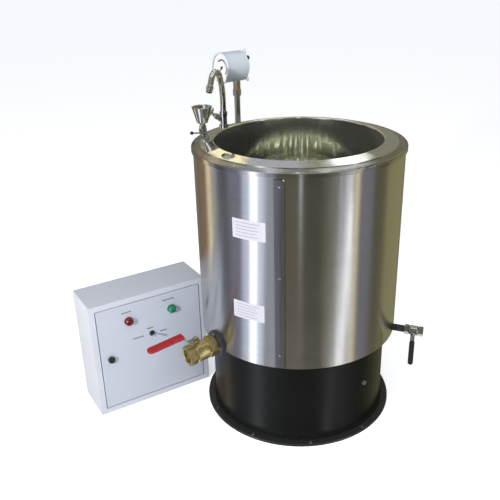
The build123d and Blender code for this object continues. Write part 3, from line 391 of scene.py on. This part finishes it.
bright_chrome = chrome("bright_chrome")
dull_chrome = chrome("dull_chrome", (0.62, 0.62, 0.62), 0.16)
valve_brass = brass("valve_brass")
pale_brass = brass("pale_brass", (0.72, 0.62, 0.38), (0.5, 0.41, 0.2), 0.34)
black_pipe = blackened("black_pipe", (0.012, 0.012, 0.013), 0.5, 0.1)
dark_plate = blackened("dark_plate", (0.022, 0.023, 0.027), 0.45, 0.2)
print("plated finishes ready")

# %% [markdown]
# ## Paint, powder coat and plastic
# The pedestal wears a satin black enamel with dust near the floor. The cabinet and its door have a
# pale blue-grey powder coat with the fine orange-peel skin of that process. Moulded plastic gets
# the same skin at another scale.


# %% Coated finishes
def coated(name, colour, rough, peel=900.0, peel_depth=0.00003, spots=0.12, shade=0.92, dust=0.0,
           dust_high=0.1, dust_colour=(0.2, 0.2, 0.19), shine=0.5):
    """A skin of fine peel and faint marks, with dust from the floor up to dust_high if asked for."""
    made = Finish(name, colour, Specular_IOR_Level=shine)
    cloud = made.noise(made.place, 6.0, 4.0, 0.55)
    skin = made.noise(made.place, peel, 2.0, 0.5)
    tone = made.blend(cloud.clipped(0.3, 0.7), tuple(shade * c for c in colour), colour)
    marks = made.noise(made.place, 90.0, 4.0, 0.7).clipped(0.62, 0.8)
    tone = made.blend(0.5 * spots * marks, tone, tuple(0.6 * c for c in colour))
    if dust:
        parts = made.node("SeparateXYZ", {}, made.place, out=2)
        low = 1.0 - parts.clipped(0.0, dust_high)
        grains = made.noise(made.place, 140.0, 5.0, 0.7).clipped(0.35, 0.75)
        tone = made.blend(dust * low * grains, tone, dust_colour)
    made.set("Base Color", tone)
    made.set("Roughness", rough + spots * (cloud - 0.5) + 0.6 * spots * marks)
    made.set("Normal", made.bump(skin, peel_depth, 0.5))
    return made


enamel = coated("enamel", (0.005, 0.0058, 0.0056), 0.3, peel=260.0, peel_depth=0.0001, dust=0.35,
                dust_high=0.05, dust_colour=(0.05, 0.05, 0.047), spots=0.16, shine=0.2)
flange_enamel = coated("flange_enamel", (0.013, 0.0145, 0.0155), 0.34, peel=300.0, peel_depth=0.0001,
                       dust=0.4, dust_high=0.03, dust_colour=(0.06, 0.06, 0.056), spots=0.16)
cabinet_coat = coated("cabinet_coat", (0.47, 0.49, 0.555), 0.42, peel=1400.0, peel_depth=0.00004, shade=0.955)
# The door gets a darker, slightly bluer copy of the cabinet's coat: painted shade on the door's face
door_coat_and_shade = coated("door_coat_and_shade", (0.41, 0.44, 0.515), 0.36, peel=1400.0, peel_depth=0.00004, shade=0.95)
gauge_coat = coated("gauge_coat", (0.52, 0.57, 0.63), 0.34, peel=700.0, peel_depth=0.00006, shade=0.9)
dial_white = coated("dial_white", (0.82, 0.83, 0.84), 0.5, peel=2500.0, peel_depth=0.00001, shade=0.98)
dial_black = coated("dial_black", (0.015, 0.015, 0.016), 0.45, peel=2500.0, peel_depth=0.00001)
black_plastic = coated("black_plastic", (0.014, 0.014, 0.015), 0.33, peel=900.0, peel_depth=0.00004)
grey_plastic = coated("grey_plastic", (0.16, 0.165, 0.17), 0.5, peel=900.0, peel_depth=0.00004)
seat_plastic = coated("seat_plastic", (0.8, 0.8, 0.77), 0.5, peel=900.0, peel_depth=0.00002)
wool = coated("wool", (0.6, 0.52, 0.3), 0.95, peel=500.0, peel_depth=0.0006, spots=0.4)
label_white = coated("label_white", (0.39, 0.395, 0.445), 0.6, peel=500.0, peel_depth=0.00004, shade=0.95)
label_grey = coated("label_grey", (0.2, 0.205, 0.235), 0.5, peel=900.0, peel_depth=0.00001)
legend_grey = coated("legend_grey", (0.09, 0.095, 0.105), 0.5, peel=900.0, peel_depth=0.00001)


def vinyl(name, colour, worn):
    """Dipped grip: soft red skin that is paler and duller where the hand rubs it."""
    made = Finish(name, colour)
    cloud = made.noise(made.place, 70.0, 4.0, 0.6)
    fine = made.noise(made.place, 900.0, 3.0, 0.6)
    made.set("Base Color", made.blend(cloud.clipped(0.42, 0.72), colour, worn))
    made.set("Roughness", 0.34 + 0.2 * cloud + 0.06 * fine)
    made.set("Normal", made.bump(fine, 0.00006, 0.6, over=made.bump(cloud, 0.0004, 0.4)))
    return made


def lens(name, colour, deep, glow):
    """A moulded pilot lens: coloured all through, with a deeper tone where it is thick."""
    made = Finish(name, colour, Transmission_Weight=0.25, IOR=1.49)
    ribs = made.noise(made.place, 260.0, 2.0, 0.5)
    cloud = made.noise(made.place, 60.0, 2.0, 0.5)
    made.set("Base Color", made.blend(cloud.clipped(0.3, 0.7), deep, colour))
    made.set("Roughness", 0.14 + 0.12 * ribs)
    made.set("Emission Color", made.blend(cloud.clipped(0.3, 0.7), deep, glow))
    made.set("Emission Strength", 0.12)
    made.set("Normal", made.bump(ribs, 0.0001, 0.4))
    return made


red_vinyl = vinyl("red_vinyl", (0.25, 0.005, 0.011), (0.31, 0.014, 0.019))
red_lens = lens("red_lens", (0.2, 0.01, 0.018), (0.09, 0.006, 0.01), (0.3, 0.008, 0.015))
green_lens = lens("green_lens", (0.012, 0.22, 0.10), (0.006, 0.11, 0.05), (0.0, 0.26, 0.1))
window_glass = Finish("window_glass", (0.96, 0.98, 0.98), Transmission_Weight=1.0, IOR=1.45, Alpha=0.22)
haze = window_glass.noise(window_glass.place, 40.0, 3.0, 0.6)
window_glass.set("Roughness", 0.02 + 0.06 * haze.clipped(0.4, 0.7))
window_glass.set("Base Color", window_glass.blend(haze, (0.92, 0.96, 0.96), (0.98, 0.99, 0.99)))
print("materials", len(bpy.data.materials))

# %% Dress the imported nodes
finishes = {
    bowl_steel: ["cooking_vessel"],
    deck_steel: ["top_deck"],
    casing_steel: ["casing_shell"],
    strip_steel: ["seam_strip"],
    inner_steel: ["casing_floor", "steam_jacket", "steam_generator", "drain_pipe", "filling_pipe"],
    pipe_steel: ["gauge_riser", "riser_coupling", "filling_funnel"],
    zinc: ["earth_bolt", "drain_flange_bolts", "drain_lever_nut", "drain_lever",
           "level_cock_lever", "door_pins", "heating_elements", "mounting_plate"],
    enamel: ["pedestal_skirt"],
    flange_enamel: ["base_flange"],
    black_pipe: ["level_nipple"],
    dark_plate: ["drain_flange"],
    valve_brass: ["drain_valve_body", "drain_valve_end", "drain_stem", "drain_gland_nut"],
    pale_brass: ["gauge_adapter"],
    bright_chrome: ["seam_screws", "tap_column", "swan_neck", "spout_aerator", "tap_bonnet",
                    "tap_handle", "toggle_lever", "drain_ball"],
    dull_chrome: ["level_cock_body", "level_cock_plug", "funnel_valve_body", "funnel_plug", "funnel_lever"],
    black_plastic: ["level_cock_grip", "funnel_knob", "door_lock", "gauge_gland", "toggle_body"],
    grey_plastic: ["contactor"],
    red_vinyl: ["drain_grip"],
    gauge_coat: ["gauge_case", "gauge_bezel"],
    window_glass: ["gauge_glass"],
    dial_white: ["gauge_dial"],
    dial_black: ["gauge_pointer"],
    cabinet_coat: ["cabinet_box"],
    door_coat_and_shade: ["cabinet_door"],
    red_lens: ["red_lamp"],
    green_lens: ["green_lamp"],
    wool: ["insulation"],
    seat_plastic: ["drain_seats"],
}
for finish, names in finishes.items():
    dress(finish, *names)
dressed = {name for names in finishes.values() for name in names}
print("undressed nodes", sorted(set(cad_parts) - dressed))

# %% [markdown]
# ## Labels, legends and the line of the lap with its painted shade
# Two stickers follow the curve of the casing, so each is a strip of narrow columns on the casing's
# own radius, with corners that fall away as an arc. Their print is plain grey lines. The legends on
# the door are thin plates on the paint, and they ride with the door.


# %% A plate wrapped round the casing
def wrapped(name, radius, thickness, start, end, low, high, corner):
    """A thin plate on a round wall, between two azimuths and two heights."""
    columns = 24
    reach = radius * radians(end - start)
    points, faces = [], []
    for k in range(columns + 1):
        along = reach * (1 - cos(pi * k / columns)) / 2
        edge = min(along, reach - along)
        drop = corner - sqrt(corner ** 2 - (corner - edge) ** 2) if edge < corner else 0.0
        angle = radians(start) + along / radius
        for r in (radius, radius + thickness):
            points += [(r * cos(angle), r * sin(angle), z) for z in (low + drop, high - drop)]
    for k in range(columns):
        a, b = 4 * k, 4 * k + 4
        faces += [(a + 2, b + 2, b + 3, a + 3), (a, a + 1, b + 1, b)]
        faces += [(a, b, b + 2, a + 2), (a + 1, a + 3, b + 3, b + 1)]
    last = 4 * columns
    faces += [(0, 2, 3, 1), (last, last + 1, last + 3, last + 2)]
    return build(name, points, faces)


casing_radius = 0.3112
label_thickness = 0.00025
label_corner = 0.002
print_height = 0.0001
line_half_height = 0.0009
line_corner = 0.0004
label_rows = 5
# Name, first and last azimuth in degrees, and lower and upper edge above the floor
for name, start, end, low, high in (("label_upper", -160.0, -141.2, 0.677, 0.734),
                                    ("label_lower", -161.0, -142.5, 0.429, 0.483)):
    label = wrapped(name, casing_radius, label_thickness, start, end, low, high, label_corner)
    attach(label, "kettle")
    dress(label_white, name)
    lines = []
    for row in range(label_rows):
        height = high - (high - low) * (row + 1) / (label_rows + 1)
        shorter = 3.0 + 3.0 * ((row * 3) % label_rows) / label_rows
        lines.append(wrapped("line", casing_radius + label_thickness, print_height, start + 2.0,
                             end - shorter, height - line_half_height, height + line_half_height,
                             line_corner))
    lines = joined(name + "_lines", lines)
    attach(lines, "kettle")
    dress(label_grey, lines.name)
print("labels on the casing")

# %% Legends on the door
door_front = 0.223
legend_depth = 0.0001
legend_half_height = 0.0019
legend_pitch = 0.0062
bar_share = 0.42
# Name, left and right end across the door, and height above the floor
for name, left, right, height in (("red_lamp_legend", -0.523, -0.490, 0.351),
                                  ("green_lamp_legend", -0.382, -0.339, 0.355),
                                  ("switch_legend_left", -0.493, -0.456, 0.248),
                                  ("switch_legend_middle", -0.443, -0.421, 0.270),
                                  ("switch_legend_right", -0.398, -0.373, 0.247)):
    count = max(2, round((right - left) / legend_pitch))
    pitch = (right - left) / count
    bars = []
    for k in range(count):
        middle = Vector((left + pitch * (k + 0.5), door_front - legend_depth, height))
        bars.append(slab("bar", pitch * bar_share, legend_depth, legend_half_height,
                         Matrix.Translation(middle)))
    legend = joined(name, bars)
    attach(legend, "door")
    dress(legend_grey, name)
print("legends on the door")

# %% The lap of the casing sheet and its painted shade
strip_edge = -131.45
lap_heights = (0.2872, 0.4, 0.5, 0.6, 0.7, 0.8, 0.8565)
lap_half_width = 0.0006
lap_line = [(casing_radius * cos(radians(strip_edge)), casing_radius * sin(radians(strip_edge)), z)
            for z in lap_heights]
# A near-black line by the seam strip's right edge: the sheet's lap edge, darkened as painted shade of the
# strip's side
lap_and_shade = swept("casing_lap_and_shade", lap_line, lap_half_width, 8)
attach(lap_and_shade, "kettle")
dress(lap_edge_and_shade, "casing_lap_and_shade")

rivet_azimuth = -131.8
rivet_height = 0.854
head_outline = [(0.0, 0.0), (0.0038, 0.0), (0.0038, 0.0006), (0.0030, 0.0017), (0.0014, 0.0023),
                (0.0, 0.0024)]
top_rivet = turned("top_rivet", head_outline, 24, at(rivet_azimuth, casing_radius, rivet_height) @ along_x)
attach(top_rivet, "kettle")
dress(bright_chrome, "top_rivet")
print("lap line and rivet")

# %% [markdown]
# ## The dial
# A gauge reads by its scale: a thick dark arc over the working range, a thin arc for the rest, ticks
# and plain numbers. They are thin flat solids on the white plate, because print seen at a slant
# through glass needs a true place, and text objects become meshes so that they export as they look.


# %% Arcs and ticks
def flat_arc(name, inner, outer, start, end, low, high, place, steps=48):
    """A flat curved bar across X, by clock angles in degrees from the top."""
    points, faces = [], []
    for k in range(steps + 1):
        angle = radians(start + (end - start) * k / steps)
        for x in (low, high):
            points += [(x, r * sin(angle), r * cos(angle)) for r in (inner, outer)]
    for k in range(steps):
        a, b = 4 * k, 4 * k + 4
        faces += [(a, b, b + 1, a + 1), (a + 2, a + 3, b + 3, b + 2)]
        faces += [(a, a + 2, b + 2, b), (a + 1, b + 1, b + 3, a + 3)]
    last = 4 * steps
    faces += [(0, 1, 3, 2), (last, last + 2, last + 3, last + 1)]
    return build(name, points, faces, place=place)


gauge_azimuth = 96.0
gauge_reach = 0.300
gauge_height = 1.058
gauge_facing = 185.5
gauge_turn = Matrix.Rotation(radians(gauge_facing - gauge_azimuth), 4, "Z")
dial_frame = at(gauge_azimuth, gauge_reach, gauge_height) @ gauge_turn
dial_face = 0.054
ink = 0.00012
ink_top = dial_face + ink
scale_start = -135.0
scale_end = 135.0
band_start = -48.0
band_inner = 0.0215
line_inner = 0.0262
band_outer = 0.0268
marks = [flat_arc("mark", band_inner, band_outer, band_start, scale_end, dial_face, ink_top, dial_frame),
         flat_arc("mark", line_inner, band_outer, scale_start, band_start, dial_face, ink_top, dial_frame)]
tick_inner = 0.0274
tick_outer = 0.0291
long_tick_outer = 0.0304
tick_count = 30
for k in range(tick_count + 1):
    angle = scale_start + (scale_end - scale_start) * k / tick_count
    long_tick = k % 5 == 0
    half = 0.7 if long_tick else 0.35
    outer = long_tick_outer if long_tick else tick_outer
    marks.append(flat_arc("mark", tick_inner, outer, angle - half, angle + half, dial_face, ink_top,
                          dial_frame, steps=2))
dial_scale = joined("dial_scale", marks)
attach(dial_scale, "kettle")
dress(dial_black, "dial_scale")

# %% Numbers
number_reach = 0.0345
number_size = 0.0066
upright = Matrix(((0, 0, 1, 0), (1, 0, 0, 0), (0, 1, 0, 0), (0, 0, 0, 1)))
numbers = []
for k in range(7):
    angle = radians(scale_start + (scale_end - scale_start) * k / 6)
    letter = bpy.data.curves.new("number", "FONT")
    letter.body = str(k)
    letter.size = number_size
    letter.extrude = ink / 2
    letter.align_x = "CENTER"
    letter.align_y = "CENTER"
    stand = bpy.data.objects.new("number", letter)
    scene.collection.objects.link(stand)
    bpy.context.view_layer.update()
    mesh = bpy.data.meshes.new_from_object(stand)
    bpy.data.objects.remove(stand)
    spot = Matrix.Translation((dial_face + ink / 2, number_reach * sin(angle), number_reach * cos(angle)))
    mesh.transform(dial_frame @ spot @ upright)
    thing = bpy.data.objects.new("number", mesh)
    scene.collection.objects.link(thing)
    numbers.append(thing)
dial_numbers = joined("dial_numbers", numbers)
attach(dial_numbers, "kettle")
dial_numbers.data.materials.clear()
dress(dial_black, "dial_numbers")
print("dial marks", len(marks), "numbers", len(numbers))

# %% [markdown]
# ## Threads and small metal
# A pipe thread is too fine for the solid model. Inside the outlet it is a low ridge that winds along
# the bore, swept as a wire that is half sunk in the wall.


# %% Thread in the outlet
def thread(name, radius, start, end, pitch, wire, place):
    """A helix of wire round X, half sunk in the wall of the bore."""
    steps = 40
    count = int((end - start) / pitch * steps)
    line = []
    for k in range(count + 1):
        angle = 2 * pi * k / steps
        line.append((start + (end - start) * k / count, radius * cos(angle), radius * sin(angle)))
    return swept(name, line, wire, 6, place)


outlet_bore = 0.0225
thread_start = 0.0955
thread_end = 0.1065
thread_pitch = 0.0023
ridge = 0.0007
outlet_thread = thread("outlet_thread", outlet_bore, thread_start, thread_end, thread_pitch, ridge, drain_out)
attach(outlet_thread, "kettle")
dress(valve_brass, "outlet_thread")
print("thread points", len(outlet_thread.data.vertices))

# %% [markdown]
# ## Floor and daylight
# The kettle stands on a plain pale floor. The floor is painted nearly white, and to the camera it
# also glows a little, so that it reads as white paper and still holds the soft shadow. The daylight
# comes from all round, and one small lamp far to the left draws the short shadows on the door.

# %% Floor and daylight
floor_half = 40.0
floor_tone = (0.9, 0.9, 0.905, 1.0)
floor_lift = 0.5
floor_corners = [(-1, -1), (1, -1), (1, 1), (-1, 1)]
floor = build("floor", [(x * floor_half, y * floor_half, 0) for x, y in floor_corners], [(0, 1, 2, 3)])
floor_paint = bpy.data.materials.new("floor_paint")
floor_paint.use_nodes = True
floor_tree = floor_paint.node_tree
paint_shader = floor_tree.nodes["Principled BSDF"]
paint_shader.inputs["Base Color"].default_value = floor_tone
paint_shader.inputs["Roughness"].default_value = 0.9
paint_shader.inputs["Specular IOR Level"].default_value = 0.1
floor.data.materials.append(floor_paint)


def seen_directly(tree):
    """1 for rays of the camera, of mirrors and of glass, and 0 for light that is on its way."""
    rays = tree.nodes.new("ShaderNodeLightPath")
    share = rays.outputs["Is Camera Ray"]
    for other in ("Is Glossy Ray", "Is Transmission Ray"):
        most = tree.nodes.new("ShaderNodeMath")
        most.operation = "MAXIMUM"
        tree.links.new(share, most.inputs[0])
        tree.links.new(rays.outputs[other], most.inputs[1])
        share = most.outputs[0]
    return share


lift = floor_tree.nodes.new("ShaderNodeMath")
lift.operation = "MULTIPLY"
lift.inputs[1].default_value = floor_lift
floor_tree.links.new(seen_directly(floor_tree), lift.inputs[0])
floor_tree.links.new(lift.outputs[0], paint_shader.inputs["Emission Strength"])
paint_shader.inputs["Emission Color"].default_value = (1, 1, 1, 1)
floor.visible_glossy = False

world = bpy.data.worlds.new("daylight")
scene.world = world
world.use_nodes = True
sky = world.node_tree
sky_tone = sky.nodes.new("ShaderNodeMix")
sky_tone.data_type = "RGBA"
sky_tone.inputs[6].default_value = (0.45, 0.475, 0.51, 1)
sky_tone.inputs[7].default_value = (1.0, 1.0, 1.0, 1)
sky.links.new(seen_directly(sky), sky_tone.inputs[0])
sky.links.new(sky_tone.outputs[2], sky.nodes["Background"].inputs["Color"])
sky.nodes["Background"].inputs["Strength"].default_value = 1.0
print("floor and daylight ready")


# %% Lamps
def lamp(name, azimuth, distance, height, target, width, tall, power, colour=(1, 1, 1)):
    """A soft rectangular lamp that looks at a point and isn't itself mirrored in the steel."""
    light = bpy.data.lights.new(name, "AREA")
    light.shape = "RECTANGLE"
    light.size, light.size_y = width, tall
    light.energy = power
    light.color = colour
    thing = bpy.data.objects.new(name, light)
    place = Vector((distance * cos(radians(azimuth)), distance * sin(radians(azimuth)), height))
    thing.location = place
    thing.rotation_euler = (Vector(target) - place).to_track_quat("-Z", "Y").to_euler()
    thing.visible_glossy = False
    scene.collection.objects.link(thing)
    return thing


lamp("window_left", -156.0, 3.2, 1.5, (-0.4, 0.2, 0.3), 0.2, 0.2, 118.0, (1.0, 0.99, 0.97))
lamp("ceiling", -110.0, 1.6, 3.0, (0, 0, 0.4), 2.2, 2.2, 34.0)
lamp("fill_right", -20.0, 3.4, 1.6, (0, 0, 0.5), 1.6, 1.6, 12.0, (1.0, 0.98, 0.94))

# %% [markdown]
# ## The room in the steel
# Steel has hardly a colour of its own, so what it shows is the room. A studio stands painted cards
# and bright panels round the kettle. Here the cards hang on one tall round screen that only mirrors
# can see. Each card has a name, a direction, a width, a softness at its edges and a paint, and later
# cards cover earlier ones. Tall narrow cards become the upright streaks of the rolled casing.

# %% Paints of the room
olive = (0.135, 0.12, 0.082)
deep_olive = (0.088, 0.082, 0.053)
sage = (0.31, 0.287, 0.15)
putty = (0.225, 0.215, 0.16)
dim_putty = (0.18, 0.172, 0.13)
brown = (0.30, 0.19, 0.125)
cream = (1.15, 1.0, 0.66)
slate = (0.12, 0.116, 0.135)
blue_grey = (0.245, 0.25, 0.315)
cool_grey = (0.225, 0.235, 0.265)
pale_grey = (0.40, 0.41, 0.47)
lavender = (0.78, 0.83, 1.02)
daylight = (2.3, 2.35, 2.4)
ceiling_paint = (0.30, 0.305, 0.25)
half_light = (0.62, 0.68, 0.74)
window_light = (0.85, 0.93, 1.0)
sunlight = (3.9, 3.95, 4.0)

# Name, azimuth of the middle, half width and softness in degrees, paint, lowest and highest point in
# metres, and how many degrees the card leans for each metre of height
room_low, room_high = -1.3, 2.4
cards = [
    ("far wall", -8, 22, 10, sage, room_low, room_high, 0),
    ("back wall", 62, 44, 12, putty, room_low, room_high, 0),
    ("wooden door", 120, 9, 4, brown, room_low, room_high, 0),
    ("door curtain", 135.2, 4.4, 1.5, cream, room_low, room_high, 0),
    ("pillar", 146, 4, 4, pale_grey, room_low, room_high, 0),
    ("cupboard", 157, 8, 5, slate, room_low, room_high, 0),
    ("side wall", 172, 8, 7, blue_grey, room_low, room_high, 0),
    ("window wall", -152, 6, 5, pale_grey, room_low, room_high, 0),
    ("window curtain", -170.5, 12, 6, lavender, room_low, 1.5, 6),
    ("window", -170, 3.6, 3.5, daylight, room_low, 1.4, 6),
    ("tube", -122.8, 1.3, 0.8, window_light, 0.5, 1.2, 0),
    ("camera side", -110, 9, 6, deep_olive, room_low, room_high, 0),
    ("shelf", -91, 5, 7, dim_putty, room_low, room_high, 0),
    ("shelf edge", -86, 0.8, 0.8, half_light, room_low, 1.3, 0),
    ("door frame", -80, 3.0, 2, pale_grey, room_low, 1.3, 0),
    ("doorway", -79.5, 1.9, 1.0, sunlight, room_low, 1.3, 12),
    ("doorway wall", -72.5, 1.5, 1.2, pale_grey, room_low, 1.3, 0),
    ("door curtain right", -69.5, 2.3, 1.2, cream, room_low, 1.3, 0),
    ("right wall", -57, 8, 6, cool_grey, room_low, 1.3, 0),
    ("right corner", -40, 8, 6, olive, room_low, 1.3, 0),
    ("skylight", 36, 6, 8, daylight, 1.66, 1.95, 0),
    ("ceiling", 0, 200, 4, ceiling_paint, 2.0, 2.6, 0),
    ("ceiling left", 66, 14, 8, pale_grey, 1.55, 2.2, 0),
    ("ceiling curtain", 81, 4, 3, cream, 1.35, 1.9, 0)]
tube_count = 9
for number in range(tube_count):
    cards.append(("ceiling tube", -165 + 360 * number / tube_count, 3.5, 1.0, sunlight, 2.1, 2.3, 0))


# %% Hanging the cards
def eased(value, low, high):
    """0 at low and 1 at high, with a soft start and end."""
    share = min(1.0, max(0.0, (value - low) / (high - low)))
    return share * share * (3 - 2 * share)


def room_tone(azimuth, height):
    """The paint that a mirror sees in one direction."""
    tone = olive
    for name, middle, half, soft, paint, low, high, lean in cards:
        away = abs((azimuth - middle - lean * height + 180) % 360 - 180)
        cover = 1 - eased(away, half - soft / 2, half + soft / 2)
        cover *= eased(height, low - 0.06, low + 0.06) * (1 - eased(height, high - 0.06, high + 0.06))
        if cover > 0:
            tone = [old + (new - old) * cover for old, new in zip(tone, paint)]
    return tone


screen_radius = 1.25
screen_steps = 720
wall_top = 1.25
wall_rows = 18
dome = [(1.22, 1.6), (1.1, 1.95), (0.8, 2.2), (0.45, 2.3), (0.2, 2.32), (0.02, 2.33)]
outline = [(screen_radius, room_low + (wall_top - room_low) * k / wall_rows) for k in range(wall_rows + 1)]
for (first_r, first_z), (last_r, last_z) in zip([outline[-1]] + dome, dome):
    for share in (0.25, 0.5, 0.75, 1.0):
        outline.append((first_r + (last_r - first_r) * share, first_z + (last_z - first_z) * share))
screen_points, screen_light = [], []
for step in range(screen_steps):
    azimuth = -180 + 360 * step / screen_steps
    for radius, height in outline:
        screen_points.append((radius * cos(radians(azimuth)), radius * sin(radians(azimuth)), height))
        screen_light.append(room_tone(azimuth, height))
rows = len(outline)
screen_faces = []
for step in range(screen_steps):
    here, there = step * rows, (step + 1) % screen_steps * rows
    screen_faces += [(here + k, there + k, there + k + 1, here + k + 1) for k in range(rows - 1)]
screen_mesh = bpy.data.meshes.new("screen")
screen_mesh.from_pydata(screen_points, [], screen_faces)
paint = screen_mesh.color_attributes.new("tone", "FLOAT_COLOR", "POINT")
paint.data.foreach_set("color", [part for tone in screen_light for part in (*tone, 1.0)])
screen = bpy.data.objects.new("screen", screen_mesh)
scene.collection.objects.link(screen)
screen_paint = bpy.data.materials.new("screen_paint")
screen_paint.use_nodes = True
screen_tree = screen_paint.node_tree
screen_tree.nodes.clear()
tone_node = screen_tree.nodes.new("ShaderNodeAttribute")
tone_node.attribute_name = "tone"
glow = screen_tree.nodes.new("ShaderNodeEmission")
screen_out = screen_tree.nodes.new("ShaderNodeOutputMaterial")
screen_tree.links.new(tone_node.outputs["Color"], glow.inputs["Color"])
screen_tree.links.new(glow.outputs[0], screen_out.inputs["Surface"])
screen_mesh.materials.append(screen_paint)
for kind in ("camera", "diffuse", "transmission", "volume_scatter", "shadow"):
    setattr(screen, "visible_" + kind, False)
print("cards", len(cards), "screen points", len(screen_points))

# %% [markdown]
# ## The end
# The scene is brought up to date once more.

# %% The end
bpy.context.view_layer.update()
